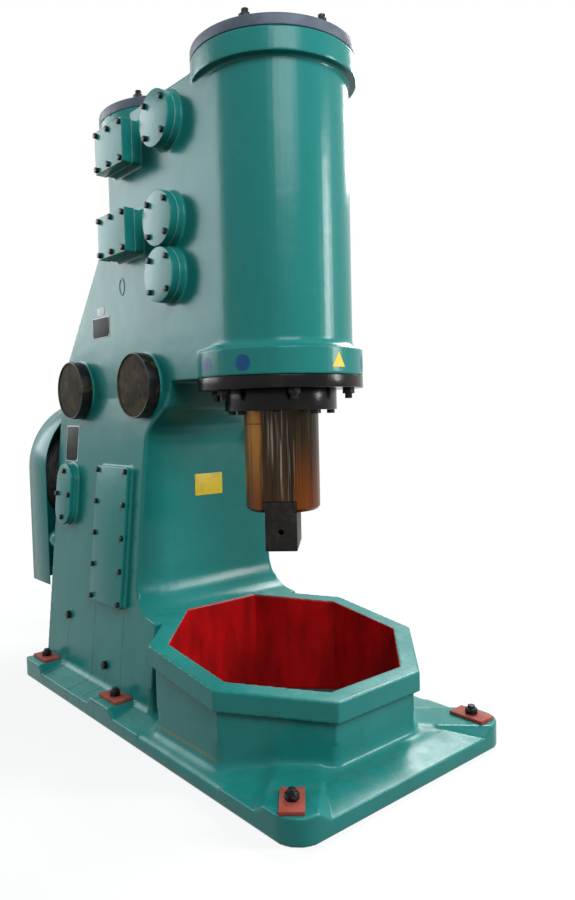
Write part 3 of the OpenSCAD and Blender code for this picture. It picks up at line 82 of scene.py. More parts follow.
class Surface:
    """One value on a surface. Arithmetic on it adds Math nodes to its material."""

    def __init__(self, tree, socket):
        self.tree = tree
        self.socket = socket

    def node(self, kind, settings=(), sockets=(), output=0):
        """Adds a node: its settings are set first, then its sockets get values or links."""
        made = self.tree.nodes.new("ShaderNode" + kind)
        for name, setting in dict(settings).items():
            setattr(made, name, setting)
        for name, value in dict(sockets).items():
            if isinstance(value, Surface):
                self.tree.links.new(value.socket, made.inputs[name])
            else:
                made.inputs[name].default_value = value
        return Surface(self.tree, made.outputs[output])

    def maths(self, operation, first, second=0.0):
        return self.node("Math", {"operation": operation}, {0: first, 1: second})

    def __add__(self, other):
        return self.maths("ADD", self, other)

    def __radd__(self, other):
        return self.maths("ADD", other, self)

    def __sub__(self, other):
        return self.maths("SUBTRACT", self, other)

    def __rsub__(self, other):
        return self.maths("SUBTRACT", other, self)

    def __mul__(self, other):
        return self.maths("MULTIPLY", self, other)

    def __rmul__(self, other):
        return self.maths("MULTIPLY", other, self)

    def __abs__(self):
        return self.maths("ABSOLUTE", self)

    def larger(self, other):
        return self.maths("MAXIMUM", self, other)

    def along(self, axis):
        return self.node("SeparateXYZ", (), {0: self}, axis)

    def step(self, low, high):
        """0 up to low and 1 from high on, with a soft step between them."""
        limits = {"Value": self, "From Min": low, "From Max": high}
        return self.node("MapRange", {"interpolation_type": "SMOOTHSTEP"}, limits)

    def mottle(self, scale, detail=4.0, stretch=(1, 1, 1)):
        """Mottling over this place, from 0 to 1, drawn out along an axis whose stretch is below 1."""
        place = self.node("Mapping", (), {"Vector": self, "Scale": stretch})
        return self.node("TexNoise", (), {"Vector": place, "Scale": scale, "Detail": detail})

    def tint(self, none, full):
        """Goes from one colour to the other as this value goes from 0 to 1."""
        return self.node("Mix", {"data_type": "RGBA"}, {0: self, 6: none, 7: full}, 2)

    def relief(self, height):
        return self.node("Bump", (), {"Distance": height, "Height": self})

    def into(self, shader, socket):
        self.tree.links.new(self.socket, shader.inputs[socket])


def new_finish(name, constants):
    """A material with its constant sockets set, its shader, and the place on the piece."""
    material = bpy.data.materials.new(name)
    material.use_nodes = True
    shader = material.node_tree.nodes["Principled BSDF"]
    for socket, value in constants.items():
        shader.inputs[socket].default_value = value
    coordinates = material.node_tree.nodes.new("ShaderNodeTexCoord")
    return material, shader, Surface(material.node_tree, coordinates.outputs["Object"])


def pick(piece):
    bpy.ops.object.select_all(action="DESELECT")
    piece.select_set(True)
    bpy.context.view_layer.objects.active = piece


def apply(piece, kind, **settings):
    """Adds a modifier to a piece and applies it."""
    pick(piece)
    modifier = piece.modifiers.new(kind.lower(), kind)
    for name, setting in settings.items():
        setattr(modifier, name, setting)
    bpy.ops.object.modifier_apply(modifier=modifier.name)


def blank_from(node, name):
    """A joined-up copy of a CAD piece, to be worked on."""
    piece = bpy.data.objects.new(name, frame["nodes"][node].data.copy())
    piece.data.materials.clear()
    bpy.context.scene.collection.objects.link(piece)
    pick(piece)
    bpy.ops.object.mode_set(mode="EDIT")
    bpy.ops.mesh.select_all(action="SELECT")
    bpy.ops.mesh.remove_doubles(threshold=1e-5)
    bpy.ops.mesh.customdata_custom_splitnormals_clear()
    bpy.ops.object.mode_set(mode="OBJECT")
    return piece


def soften(piece, test, rounds):
    """Rubs a piece smooth where its corners pass the test."""
    area = piece.vertex_groups.new(name="softened")
    area.add([corner.index for corner in piece.data.vertices if test(corner.co)], 1.0, "REPLACE")
    apply(piece, "SMOOTH", factor=0.5, iterations=rounds, vertex_group=area.name)
    piece.vertex_groups.clear()


def fit(piece, material, slot, body, *nodes):
    """Gives a finished piece its material, the body that it rides on and the CAD nodes it stands for."""
    piece.data.materials.clear()
    piece.data.materials.append(material)
    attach(piece, body)
    if nodes:
        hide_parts(*nodes)


def green_enamel(name, well=False):
    """Green gloss enamel with soft waves, chalky patches and dust. The casting also gets its red well,
    the dusty seam at the collar's foot and the oil runs below the side covers."""
    paint, shader, place = new_finish(name, {"Specular IOR Level": 0.2})
    waves = place.mottle(5, 3)
    chalk = (place.mottle(3, 6) * 0.6 + place.mottle(26, 5) * 0.4).step(0.46, 0.66)
    colour = (chalk * 0.35).tint(ENAMEL, ENAMEL_CHALKY)
    height = place.along("Z")
    foot = 1 - height.step(0.05, 0.75)
    grime = foot * place.mottle(9, 7, (1, 1, 0.35)).step(0.45, 0.75)
    colour = (grime * 0.25).tint(colour, ENAMEL_GRIMY)
    upward = place.node("NewGeometry", (), (), "Normal").along("Z").step(0.55, 0.98)
    dust = upward * place.mottle(14, 7).step(0.42, 0.72)
    colour = (dust * 0.06).tint(colour, OCHRE_DUST)
    rough = 0.20 + place.mottle(18, 5) * 0.08 + dust * 0.10 + grime * 0.08
    if well:
        across = abs(place.along("X"))
        depth = abs(place.along("Y") - RAM_Y)
        reach = across.larger(depth).larger((across + depth) * math.sqrt(0.5))
        edge = reach + (place.mottle(30, 2) - 0.5) * 0.003
        below_rim = 1 - height.step(WELL_TOP_Z, WELL_TOP_Z + 0.001)
        inside = (1 - edge.step(WELL_REACH - 0.001, WELL_REACH + 0.001)) * below_rim
        brushed = place.mottle(12, 6, (1, 1, 0.3)).step(0.35, 0.7)
        colour = inside.tint(colour, brushed.tint(WELL_RED, WELL_RED_DEEP))
        seam = abs(reach - COLLAR_REACH).step(0.0, 0.008) + abs(height - COLLAR_FOOT_Z).step(0.002, 0.010)
        left_wall = (1 - place.along("X").step(*COLLAR_LEFT_X)) * (1 - depth.step(*COLLAR_LEFT_HALF))
        seam = (1 - seam.step(0.0, 1.0)) * left_wall
        colour = (seam * place.mottle(9, 4).step(0.3, 0.5) * 0.8).tint(colour, OCHRE_DUST)
        left = 1 - place.along("X").step(*COLUMN_LEFT_X)
        trickle = (place.mottle(40, 3, (0.2, 0.2, 0.12)) - 0.5) * 0.012
        for y, top in OIL_RUNS:
            run = 1 - abs(place.along("Y") - y + trickle).step(0.0015, 0.0055)
            below = 1 - height.step(top - 0.02, top)
            colour = (run * below * left * place.mottle(16, 3).step(0.2, 0.5) * 0.85).tint(colour, OIL)
    colour.into(shader, "Base Color")
    rough.into(shader, "Roughness")
    (waves + place.mottle(160, 2) * 0.03).relief(0.0028).into(shader, "Normal")
    return paint


def collar_reach(at):
    """How far a place lies from the ram's axis, measured square to the octagonal collar's walls."""
    across, depth = abs(at.x), abs(at.y - RAM_Y)
    return max(across, depth, (across + depth) * math.sqrt(0.5))


def in_cove(at):
    """Whether a place lies in the cove between the collar's wall and the base."""
    near = COVE_REACH[0] < collar_reach(at) - COLLAR_REACH < COVE_REACH[1]
    return near and abs(at.z - COLLAR_FOOT_Z) < COVE_RISE


def in_throat_edge(at):
    """Whether a place lies on one of the throat's two upright edges."""
    beside = abs(at.x) > THROAT_EDGE_X and THROAT_EDGE_Y[0] < at.y < THROAT_EDGE_Y[1]
    return beside and THROAT_EDGE_Z[0] < at.z < THROAT_EDGE_Z[1]


casting = blank_from("frame_casting", "green_frame_casting")
apply(casting, "REMESH", mode="VOXEL", voxel_size=MOULD_GRAIN)
apply(casting, "SMOOTH", factor=0.5, iterations=MOULD_ROUNDING)
soften(casting, in_throat_edge, THROAT_ROUNDING)
soften(casting, in_cove, COVE_ROUNDING)
casting.data.calc_loop_triangles()
apply(casting, "DECIMATE", ratio=CASTING_TRIANGLES / len(casting.data.loop_triangles))
pick(casting)
bpy.ops.object.shade_smooth()
apply(casting, "WEIGHTED_NORMAL", mode="FACE_AREA", weight=50)
frame_paint = green_enamel("green_enamel_frame", well=True)
fit(casting, frame_paint, "green_paint", "frame", "frame_casting")


# Cylinder covers: flat cast-iron lids over both cylinders, turned, primed dark grey and held down by studs
# with hexagon nuts around the edge.
COVER_GREY = (0.070, 0.084, 0.118, 1)
COVER_GREY_DUSTY = (0.138, 0.164, 0.208, 1)
STUD_BLACK = (0.008, 0.008, 0.009, 1)
STUD_WORN = (0.080, 0.074, 0.070, 1)
COVER_RIM_EDGE = 0.004
NUT_EDGE = 0.0015
STUD_HOLE = 0.06
SHARP = math.radians(32)
FLAT = math.radians(0.5)


def outer_edges(piece, holes):
    """The sharp edges of a piece, without the rims of round holes up to a given width."""
    faces = {}
    for face in piece.data.polygons:
        for key in face.edge_keys:
            faces.setdefault(key, []).append(face.normal)
    pairs = {key: sides for key, sides in faces.items() if len(sides) == 2}
    sharp = [key for key, (one, other) in pairs.items() if one.angle(other, 0) > SHARP]
    chain = {}
    for first, last in sharp:
        chain.setdefault(first, []).append(last)
        chain.setdefault(last, []).append(first)
    kept = set()
    while chain:
        rim = {next(iter(chain))}
        front = list(rim)
        while front:
            nexts = [n for n in chain.pop(front.pop(), []) if n not in rim]
            rim.update(nexts)
            front += nexts
        corners = [piece.data.vertices[i].co for i in rim]
        spans = [max(c[axis] for c in corners) - min(c[axis] for c in corners) for axis in range(3)]
        if max(spans) > holes:
            kept |= rim
    return [key for key in sharp if key[0] in kept]


def broken_edges(node, name, width, segments=3, holes=0.0):
    """A copy of a CAD piece with its sharp edges broken, as a file or a chamfer tool leaves them."""
    piece = blank_from(node, name)
    bpy.ops.object.mode_set(mode="EDIT")
    bpy.ops.mesh.select_all(action="SELECT")
    bpy.ops.mesh.tris_convert_to_quads(face_threshold=FLAT, shape_threshold=math.pi)
    bpy.ops.object.mode_set(mode="OBJECT")
    broken = set(outer_edges(piece, holes))
    weights = piece.data.attributes.new("bevel_weight_edge", "FLOAT", "EDGE")
    for edge in piece.data.edges:
        weights.data[edge.index].value = float(edge.key in broken)
    apply(piece, "BEVEL", limit_method="WEIGHT", width=width, segments=segments, use_clamp_overlap=False)
    bpy.ops.object.shade_smooth_by_angle(angle=SHARP)
    return piece


cover_primer, shader, place = new_finish("dark_grey_primer", {"Specular IOR Level": 0.3})
settled = place.mottle(8, 7).step(0.4, 0.7)
(settled * 0.6).tint(COVER_GREY, COVER_GREY_DUSTY).into(shader, "Base Color")
(0.38 + place.mottle(24, 4) * 0.2).into(shader, "Roughness")
place.mottle(70, 4).relief(0.001).into(shader, "Normal")

bolt_steel, shader, place = new_finish("dark_bolt_steel", {"Metallic": 0.6, "Specular IOR Level": 0.3})
wear = place.mottle(90, 5).step(0.5, 0.72)
(wear * 0.7).tint(STUD_BLACK, STUD_WORN).into(shader, "Base Color")
(0.34 + place.mottle(60, 4) * 0.2).into(shader, "Roughness")
place.mottle(260, 3).relief(0.0008).into(shader, "Normal")

for node in ["working_cover", "compressor_cover"]:
    cover = broken_edges(node, "turned_" + node, COVER_RIM_EDGE, holes=STUD_HOLE)
    fit(cover, cover_primer, "grey_cover", "frame", node)
for node in ["working_cover_studs", "compressor_cover_studs"]:
    fit(broken_edges(node, "nutted_" + node, NUT_EDGE, segments=2), bolt_steel, "dark_steel", "frame", node)


# Lower flange and gland: a black steel ring bolted under the working cylinder, and the gland under it that
# holds the ram's packing. Both are turned, blackened and always wet with oil.
IRON_BLACK = (0.003, 0.003, 0.003, 1)
IRON_OILY = (0.016, 0.011, 0.007, 1)
RING_EDGE = 0.003

black_iron, shader, place = new_finish("oily_black_iron", {"Specular IOR Level": 0.16})
oily = place.mottle(11, 6, (1, 1, 0.5)).step(0.45, 0.7)
(oily * 0.8).tint(IRON_BLACK, IRON_OILY).into(shader, "Base Color")
(0.14 + place.mottle(40, 4) * 0.14).into(shader, "Roughness")
place.mottle(90, 4).relief(0.0005).into(shader, "Normal")
for node in ["lower_flange", "gland"]:
    ring = broken_edges(node, "turned_" + node, RING_EDGE, holes=STUD_HOLE)
    fit(ring, black_iron, "black_iron", "frame", node)
for node in ["lower_flange_studs", "gland_bolts"]:
    bolts = broken_edges(node, "blackened_" + node, NUT_EDGE, segments=2)
    fit(bolts, bolt_steel, "dark_steel", "frame", node)


# Ram and upper die: the ram is a forged steel bar ground on its guide flats and brown with old oil, and the
# die is a dark forged block whose dovetail is keyed into the slot in the ram's foot. Towards the top, the
# ram's left flank is painted gold as a painted highlight and its right flank dark olive as a painted shade,
# and a dark line painted round the left flank is the painted shade of its oil groove.
# The gold of the left flank is a painted highlight and the olive of the right flank a painted shade; the
# red-brown below them is the oil.
RAM_GOLD_PAINTED_HIGHLIGHT = (0.340, 0.150, 0.030, 1)
RAM_RED = (0.140, 0.036, 0.004, 1)
RAM_OLIVE_PAINTED_SHADE = (0.026, 0.015, 0.005, 1)
RAM_GREY = (0.036, 0.026, 0.016, 1)
RAM_SCRATCH = (0.330, 0.280, 0.210, 1)
RAM_PAINTED_LIGHT_Z = (1.00, 1.34)
RAM_ACROSS = (0.76, -0.65)
LEFT_FLANK = (-0.098, -0.078)
RIGHT_FLANK = (0.035, 0.060)
OIL_GROOVE_SHADE_Z = 1.366
RAM_EDGE = 0.004
KEY_EDGE = 0.0015
DIE_DARK = (0.008, 0.007, 0.006, 1)
DIE_SCALE = (0.024, 0.020, 0.017, 1)

oiled_steel, shader, place = new_finish("oil_browned_steel_with_painted_sheen", {"Specular IOR Level": 0.12})
height = place.along("Z")
across = place.along("X") * RAM_ACROSS[0] + (place.along("Y") - RAM_Y) * RAM_ACROSS[1]
wander = (place.mottle(7, 4, (1, 1, 0.25)) - 0.5) * 0.04
# Painted highlight and painted shade: towards the top the left flank turns gold and the right flank dark
# olive, over the oil's red-brown.
upper_painted_light = (height + wander * 3).step(*RAM_PAINTED_LIGHT_Z)
left_flank = 1 - (across + wander).step(*LEFT_FLANK)
right_flank = (across + wander * 0.4).step(*RIGHT_FLANK)
colour = left_flank.tint(upper_painted_light.tint(RAM_RED, RAM_OLIVE_PAINTED_SHADE), upper_painted_light.tint(RAM_RED, RAM_GOLD_PAINTED_HIGHLIGHT))
flat = 1 - left_flank.larger(right_flank)
runs = place.mottle(30, 5, (1, 1, 0.06))
colour = (flat * (0.55 + runs.step(0.3, 0.6) * 0.4)).tint(colour, RAM_GREY)
worn = place.mottle(9, 3, (1, 1, 0.3)).step(0.42, 0.62)
scratches = place.mottle(130, 3, (1, 1, 0.02)).step(0.54, 0.68)
colour = (scratches * (0.08 + flat * worn * 0.75)).tint(colour, RAM_SCRATCH)
drips = place.mottle(45, 4, (1, 1, 0.05)).step(0.5, 0.72)
colour = (drips * 0.7).tint(colour, DIE_DARK)
# Painted shade: a dark line round the left flank where the shade in the oil groove falls.
ring = (1 - abs(height - OIL_GROOVE_SHADE_Z).step(0.001, 0.003)) * left_flank
(ring * 0.9).tint(colour, DIE_DARK).into(shader, "Base Color")
(0.30 + place.mottle(20, 3) * 0.25).into(shader, "Metallic")
(0.20 + runs * 0.24).into(shader, "Roughness")
place.mottle(120, 3, (1, 1, 0.08)).relief(0.0008).into(shader, "Normal")

die_steel, shader, place = new_finish("dark_forged_die_steel", {"Metallic": 0.5, "Specular IOR Level": 0.3})
scale = place.mottle(38, 6).step(0.45, 0.72)
(scale * 0.8).tint(DIE_DARK, DIE_SCALE).into(shader, "Base Color")
(0.36 + place.mottle(24, 5) * 0.25).into(shader, "Roughness")
place.mottle(80, 5).relief(0.0015).into(shader, "Normal")

ram = broken_edges("ram", "ground_ram", RAM_EDGE)
fit(ram, oiled_steel, "oiled_steel", "ram_body", "ram")
die = broken_edges("upper_die", "forged_upper_die", RAM_EDGE)
fit(die, die_steel, "dark_steel", "ram_body", "upper_die")
key = broken_edges("die_key", "driven_die_key", KEY_EDGE)
fit(key, die_steel, "dark_steel", "ram_body", "die_key")


# Valve and passage covers: cast discs and plates over the ends of the rotary valves and the air passages,
# faced, painted with the frame and drawn down by hexagon bolts, each on a paper gasket that shows as a line.
COVER_EDGE = 0.003
HEAD_EDGE = 0.0012
DISC_SIDES = 96
SIDEWAYS = (0, math.radians(90), 0)
PLATE_SHARP = math.radians(40)
PLATE_SMOOTH = math.radians(35)
GASKET_T = 0.003
GASKET_EDGE = GASKET_T / 4
GASKET_PROUD = 0.0012
GASKET_PALE = (0.240, 0.370, 0.340, 1)
GASKET_STAINED = (0.130, 0.230, 0.205, 1)
PASSAGE_CORNER = 0.008


def middle(node):
    """The middle of a CAD piece's box."""
    low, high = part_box(node)
    return (low + high) / 2


def span(node):
    """The lengths of a CAD piece's box."""
    low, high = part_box(node)
    return high - low


def ease(piece, edge):
    """Breaks the edges of a new plate and smooths what is round on it."""
    apply(piece, "BEVEL", width=edge, segments=3, limit_method="ANGLE", angle_limit=PLATE_SHARP)
    bpy.ops.object.shade_smooth_by_angle(angle=PLATE_SMOOTH)


def round_plate(name, place, radius, thickness, edge):
    """A turned disc whose axis lies across the machine, with its edges broken."""
    bpy.ops.object.select_all(action="DESELECT")
    bpy.ops.mesh.primitive_cylinder_add(
        vertices=DISC_SIDES, radius=radius, depth=thickness, location=place, rotation=SIDEWAYS
    )
    piece = bpy.context.object
    piece.name = name
    bpy.ops.object.transform_apply(location=True, rotation=True, scale=True)
    ease(piece, edge)
    return piece


def flat_plate(name, place, length, height, thickness, corner, edge, lean=0.0, turn=0.0):
    """A plate with rounded corners and broken edges, leaning and turned as the wall behind it."""
    bpy.ops.object.select_all(action="DESELECT")
    bpy.ops.mesh.primitive_cube_add(size=1, scale=(thickness, length, height))
    piece = bpy.context.object
    piece.name = name
    bpy.ops.object.transform_apply(location=False, rotation=False, scale=True)
    bpy.ops.object.mode_set(mode="EDIT")
    bpy.ops.mesh.select_mode(type="EDGE")
    bpy.ops.mesh.select_all(action="DESELECT")
    bpy.ops.object.mode_set(mode="OBJECT")
    for side in piece.data.edges:
        first, last = (piece.data.vertices[i].co for i in side.vertices)
        side.select = abs(first.x - last.x) > thickness / 2
    bpy.ops.object.mode_set(mode="EDIT")
    bpy.ops.mesh.bevel(offset=corner, segments=10, affect="EDGES")
    bpy.ops.object.mode_set(mode="OBJECT")
    ease(piece, edge)
    piece.rotation_euler = (0, lean, turn)
    piece.location = place
    bpy.ops.object.transform_apply(location=True, rotation=True, scale=True)
    return piece


def joined(name, pieces):
    """Several like pieces as one."""
    bpy.ops.object.select_all(action="DESELECT")
    for piece in pieces:
        piece.select_set(True)
    bpy.context.view_layer.objects.active = pieces[0]
    bpy.ops.object.join()
    pieces[0].name = name
    return pieces[0]


gasket_paper, shader, place = new_finish("painted_over_gasket", {"Specular IOR Level": 0.25})
stain = place.mottle(40, 5).step(0.4, 0.65)
stain.tint(GASKET_PALE, GASKET_STAINED).into(shader, "Base Color")
(0.55 + place.mottle(60, 3) * 0.2).into(shader, "Roughness")

cover_paint = green_enamel("green_enamel_covers")
gaskets = []
for node in ["upper_valve_cover", "middle_valve_cover", "lower_valve_cover"]:
    centre, size = middle(node), span(node)
    cover = round_plate("faced_" + node, centre, size.y / 2, size.x, COVER_EDGE)
    fit(cover, cover_paint, "green_paint", "frame", node)
    seat = Vector((centre.x + size.x / 2, centre.y, centre.z))
    gaskets.append(round_plate("gasket", seat, size.y / 2 + GASKET_PROUD, GASKET_T, GASKET_EDGE))
for node in ["upper_passage_cover", "lower_passage_cover"]:
    centre, size = middle(node), span(node)
    cover = flat_plate("faced_" + node, centre, size.y, size.z, size.x, PASSAGE_CORNER, COVER_EDGE)
    fit(cover, cover_paint, "green_paint", "frame", node)
    seat = Vector((centre.x + size.x / 2, centre.y, centre.z))
    sheet = (size.y + 2 * GASKET_PROUD, size.z + 2 * GASKET_PROUD)
    gaskets.append(flat_plate("gasket", seat, *sheet, GASKET_T, PASSAGE_CORNER, GASKET_EDGE))
fit(joined("cover_gaskets", gaskets), gasket_paper, "green_paint", "frame")
for node in ["valve_cover_bolts", "passage_cover_bolts"]:
    bolts = broken_edges(node, "hexagon_" + node, HEAD_EDGE, segments=2)
    fit(bolts, bolt_steel, "dark_steel", "frame", node)


# Air filters: two black drums on the column's left side, each with a flat brass-wire screen that has gone
# brown with oil inside a paler rim.
HOUSING_BLACK = (0.005, 0.005, 0.005, 1)
HOUSING_WORN = (0.085, 0.060, 0.026, 1)
SCREEN_BROWN = (0.010, 0.008, 0.005, 1)
SCREEN_BRASS = (0.066, 0.047, 0.021, 1)
SCREEN_WIRES = 60.0
DRUM_EDGE = 0.004
SCREEN_EDGE = 0.003

housing_black, shader, place = new_finish("black_filter_housing", {"Specular IOR Level": 0.3})
rubbed = place.mottle(24, 6).step(0.5, 0.72)
(rubbed * 0.7).tint(HOUSING_BLACK, HOUSING_WORN).into(shader, "Base Color")
(0.3 + place.mottle(30, 4) * 0.2).into(shader, "Roughness")
place.mottle(110, 3).relief(0.0008).into(shader, "Normal")

screen_brass, shader, place = new_finish("oily_brass_screen", {"Specular IOR Level": 0.05})
patches = (place.mottle(12, 6) * 0.7 + place.mottle(48, 4) * 0.3).step(0.38, 0.66)
patches.tint(SCREEN_BROWN, SCREEN_BRASS).into(shader, "Base Color")
(0.46 + place.mottle(30, 4) * 0.2).into(shader, "Roughness")
wires = place.node("Mapping", (), {"Vector": place, "Scale": (0, 1, 1)})
weft = place.node("TexWave", {"bands_direction": "Y"}, {"Vector": wires, "Scale": SCREEN_WIRES})
warp = place.node("TexWave", {"bands_direction": "Z"}, {"Vector": wires, "Scale": SCREEN_WIRES})
weft.larger(warp).relief(0.0012).into(shader, "Normal")

for node in ["front_filter_housing", "rear_filter_housing"]:
    fit(broken_edges(node, "drum_" + node, DRUM_EDGE), housing_black, "black_housing", "frame", node)
for node in ["front_filter_screen", "rear_filter_screen"]:
    fit(broken_edges(node, "woven_" + node, SCREEN_EDGE), screen_brass, "brass_screen", "frame", node)


# Side covers: the inspection cover over the crank chamber and the obround bearing cover behind it, flat
# plates painted with the frame under hexagon bolts, and two pipe plugs that drain the chamber.
SIDE_LEAN = math.radians(5.8)
SIDE_COVERS = {
    "inspection_cover": {"length": 0.322, "height": 0.676, "thickness": 0.014, "corner": 0.018},
    "bearing_cover": {"length": 0.184, "height": 0.330, "thickness": 0.018, "corner": 0.0915},
}
for node, sizes in SIDE_COVERS.items():
    cover = flat_plate("faced_" + node, middle(node), **sizes, edge=COVER_EDGE, lean=SIDE_LEAN)
    fit(cover, cover_paint, "green_paint", "frame", node)
for node in ["inspection_cover_bolts", "bearing_cover_bolts", "drain_plugs"]:
    bolts = broken_edges(node, "hexagon_" + node, HEAD_EDGE, segments=2)
    fit(bolts, bolt_steel, "dark_steel", "frame", node)


# Plates and signs: two dark aluminium nameplates with a pale rim and four rivets, a small pale label, a
# yellow plate on the throat wall, and three blue discs and a yellow triangle of film around the lower ring.
RING_R = 0.357
SIGN_Z = 1.610
SIGN_R = 0.033
DISC_CORNERS = 48
DISC_AZIMUTHS = (173.5, -154.3, -53.6)
TRIANGLE_R = SIGN_R * 1.25
TRIANGLE_AZIMUTH = -89
PLATE_T = 0.002
PLATE_EDGE = PLATE_T / 4
SIGN_PROUD = PLATE_T / 4
PLATE_DARK = (0.012, 0.014, 0.016, 1)
PLATE_SCUFFED = (0.026, 0.029, 0.030, 1)
RIM_PALE = (0.640, 0.670, 0.660, 1)
RIM_DULL = (0.480, 0.510, 0.500, 1)
SIGN_BLUE = (0.004, 0.062, 0.170, 1)
SIGN_BLUE_FADED = (0.010, 0.090, 0.210, 1)
SIGN_YELLOW = (0.780, 0.560, 0.020, 1)
SIGN_YELLOW_FADED = (0.640, 0.480, 0.050, 1)
RIM_W = 0.006
RIVET_R = 0.004
RIVET_IN = 0.010
NAMEPLATES = {
    "upper_nameplate": (Vector((-0.3155, 0.477, 1.865)), 0.190, 0.108, 0.0),
    "lower_nameplate": (Vector((-0.3395, 0.8195, 1.267)), 0.152, 0.197, SIDE_LEAN),
}
LABEL_PLACE = Vector((-0.3155, 0.477, 1.943))
LABEL_SIZE = (0.078, 0.044)
THROAT_PLATE_PLACE = Vector((0.016, 0.0330, 1.0635))
THROAT_PLATE_SIZE = (0.164, 0.107)
FACING_FRONT = math.radians(-90)


def sign_film(name, fresh, faded, gloss=0.25):
    """A printed film or lacquered plate in one colour, faded in patches."""
    film, shader, place = new_finish(name, {"Specular IOR Level": gloss})
    patches = place.mottle(22, 5).step(0.4, 0.7)
    patches.tint(fresh, faded).into(shader, "Base Color")
    (0.3 + place.mottle(30, 3) * 0.2).into(shader, "Roughness")
    return film


def ring_sign(name, corners, radius, azimuth):
    """A sheet sign on the lower ring, cut as a regular figure and bent to the ring."""
    turn = math.radians(azimuth)
    at = (RING_R * math.cos(turn), RAM_Y + RING_R * math.sin(turn), SIGN_Z)
    upright = (math.radians(90), 0, turn + math.radians(90))
    bpy.ops.object.select_all(action="DESELECT")
    bpy.ops.mesh.primitive_circle_add(
        vertices=corners, radius=radius, fill_type="TRIFAN", location=at, rotation=upright
    )
    sign = bpy.context.object
    sign.name = name
    bpy.ops.object.transform_apply(location=True, rotation=True, scale=True)
    bpy.ops.object.mode_set(mode="EDIT")
    bpy.ops.mesh.select_all(action="SELECT")
    bpy.ops.mesh.subdivide(number_cuts=2 if corners > 3 else 9)
    bpy.ops.object.mode_set(mode="OBJECT")
    apply(sign, "SHRINKWRAP", target=casting, wrap_method="NEAREST_SURFACEPOINT", offset=SIGN_PROUD)
    return sign


def copies(piece, places):
    """Copies of one piece at several places, each with its own mesh. The piece itself is used up."""
    made = []
    for place in places:
        pick(piece)
        bpy.ops.object.duplicate()
        bpy.ops.transform.translate(value=place)
        bpy.ops.object.transform_apply(location=True, rotation=False, scale=False)
        made.append(bpy.context.object)
    bpy.data.objects.remove(piece)
    return made


sign_blue = sign_film("blue_sign_film", SIGN_BLUE, SIGN_BLUE_FADED)
sign_yellow = sign_film("yellow_sign_film", SIGN_YELLOW, SIGN_YELLOW_FADED)
plate_dark = sign_film("dark_nameplate", PLATE_DARK, PLATE_SCUFFED, 0.06)
plate_rim = sign_film("pale_nameplate_rim", RIM_PALE, RIM_DULL)
discs = [ring_sign("blue_disc", DISC_CORNERS, SIGN_R, azimuth) for azimuth in DISC_AZIMUTHS]
fit(joined("blue_sign_discs", discs), sign_blue, "grey_cover", "frame")
triangle = ring_sign("yellow_sign_triangle", 3, TRIANGLE_R, TRIANGLE_AZIMUTH)
fit(triangle, sign_yellow, "brass_screen", "frame")

for name, (centre, length, height, lean) in NAMEPLATES.items():
    rim = flat_plate(name + "_rim", centre, length, height, PLATE_T, RIM_W, PLATE_EDGE, lean)
    corners = []
    for along in (-1, 1):
        for rise in (-1, 1):
            up = rise * (height / 2 - RIVET_IN)
            side = along * (length / 2 - RIVET_IN)
            corners.append(centre + Vector((up * math.sin(lean) - PLATE_T, side, up * math.cos(lean))))
    rivets = copies(round_plate("rivet", (0, 0, 0), RIVET_R, PLATE_T * 2, PLATE_T / 2), corners)
    fit(joined(name + "_rim", [rim] + rivets), plate_rim, "bright_steel", "frame")
    proud = centre - Vector((PLATE_T / 2, 0, 0))
    inner = (length - 2 * RIM_W, height - 2 * RIM_W)
    field = flat_plate(name + "_field", proud, *inner, PLATE_T, RIM_W / 2, PLATE_EDGE, lean)
    fit(field, plate_dark, "black_iron", "frame")
label = flat_plate("pale_label", LABEL_PLACE, *LABEL_SIZE, PLATE_T, RIM_W, PLATE_EDGE)
fit(label, plate_rim, "bright_steel", "frame")
plate = (*THROAT_PLATE_SIZE, PLATE_T, RIM_W, PLATE_EDGE)
warning = flat_plate("yellow_throat_plate", THROAT_PLATE_PLACE, *plate, turn=FACING_FRONT)
fit(warning, sign_yellow, "brass_screen", "frame")


# Foundry mark: a small plain oval that stands out from the casting's left side. It is iron, cast in one with
# the frame and sprayed with it, so nothing holds it on.
MARK = Vector((-0.3145, 0.2425, 2.039))
MARK_R = 0.028
MARK_BEAD = 0.004
MARK_SEGMENTS = 64
MARK_STRETCH = (0.8, 0.85, 1.35)
bpy.ops.object.select_all(action="DESELECT")
bpy.ops.mesh.primitive_torus_add(
    major_radius=MARK_R,
    minor_radius=MARK_BEAD,
    major_segments=MARK_SEGMENTS,
    location=MARK,
    rotation=SIDEWAYS,
)
mark = bpy.context.object
mark.name = "oval_foundry_mark"
bpy.ops.object.transform_apply(location=False, rotation=True, scale=True)
bpy.ops.object.mode_set(mode="EDIT")
bpy.ops.mesh.select_all(action="SELECT")
bpy.ops.transform.resize(value=MARK_STRETCH, center_override=MARK)
bpy.ops.object.mode_set(mode="OBJECT")
bpy.ops.object.transform_apply(location=True, rotation=True, scale=True)
bpy.ops.object.shade_smooth()
fit(mark, frame_paint, "green_paint", "frame")


# Belt guard: a hood of bent and welded steel sheet over the flywheel. Brackets at its two sides and at the
# top hold it to the back of the casting, and all of it is painted with the frame.
SHEET_EDGE = 0.002
for node in ["belt_guard", "guard_brackets"]:
    sheet = broken_edges(node, "painted_" + node, SHEET_EDGE, segments=2)
    fit(sheet, cover_paint, "green_paint", "frame", node)


# Foundation bolts: six hexagon bolts of blackened steel hold the base down, each through a washer plate cut
# from flat steel and coated with brick-red primer.
PRIMER_RED = (0.270, 0.046, 0.030, 1)
PRIMER_RED_DUSTY = (0.330, 0.085, 0.060, 1)
WASHER_EDGE = 0.002

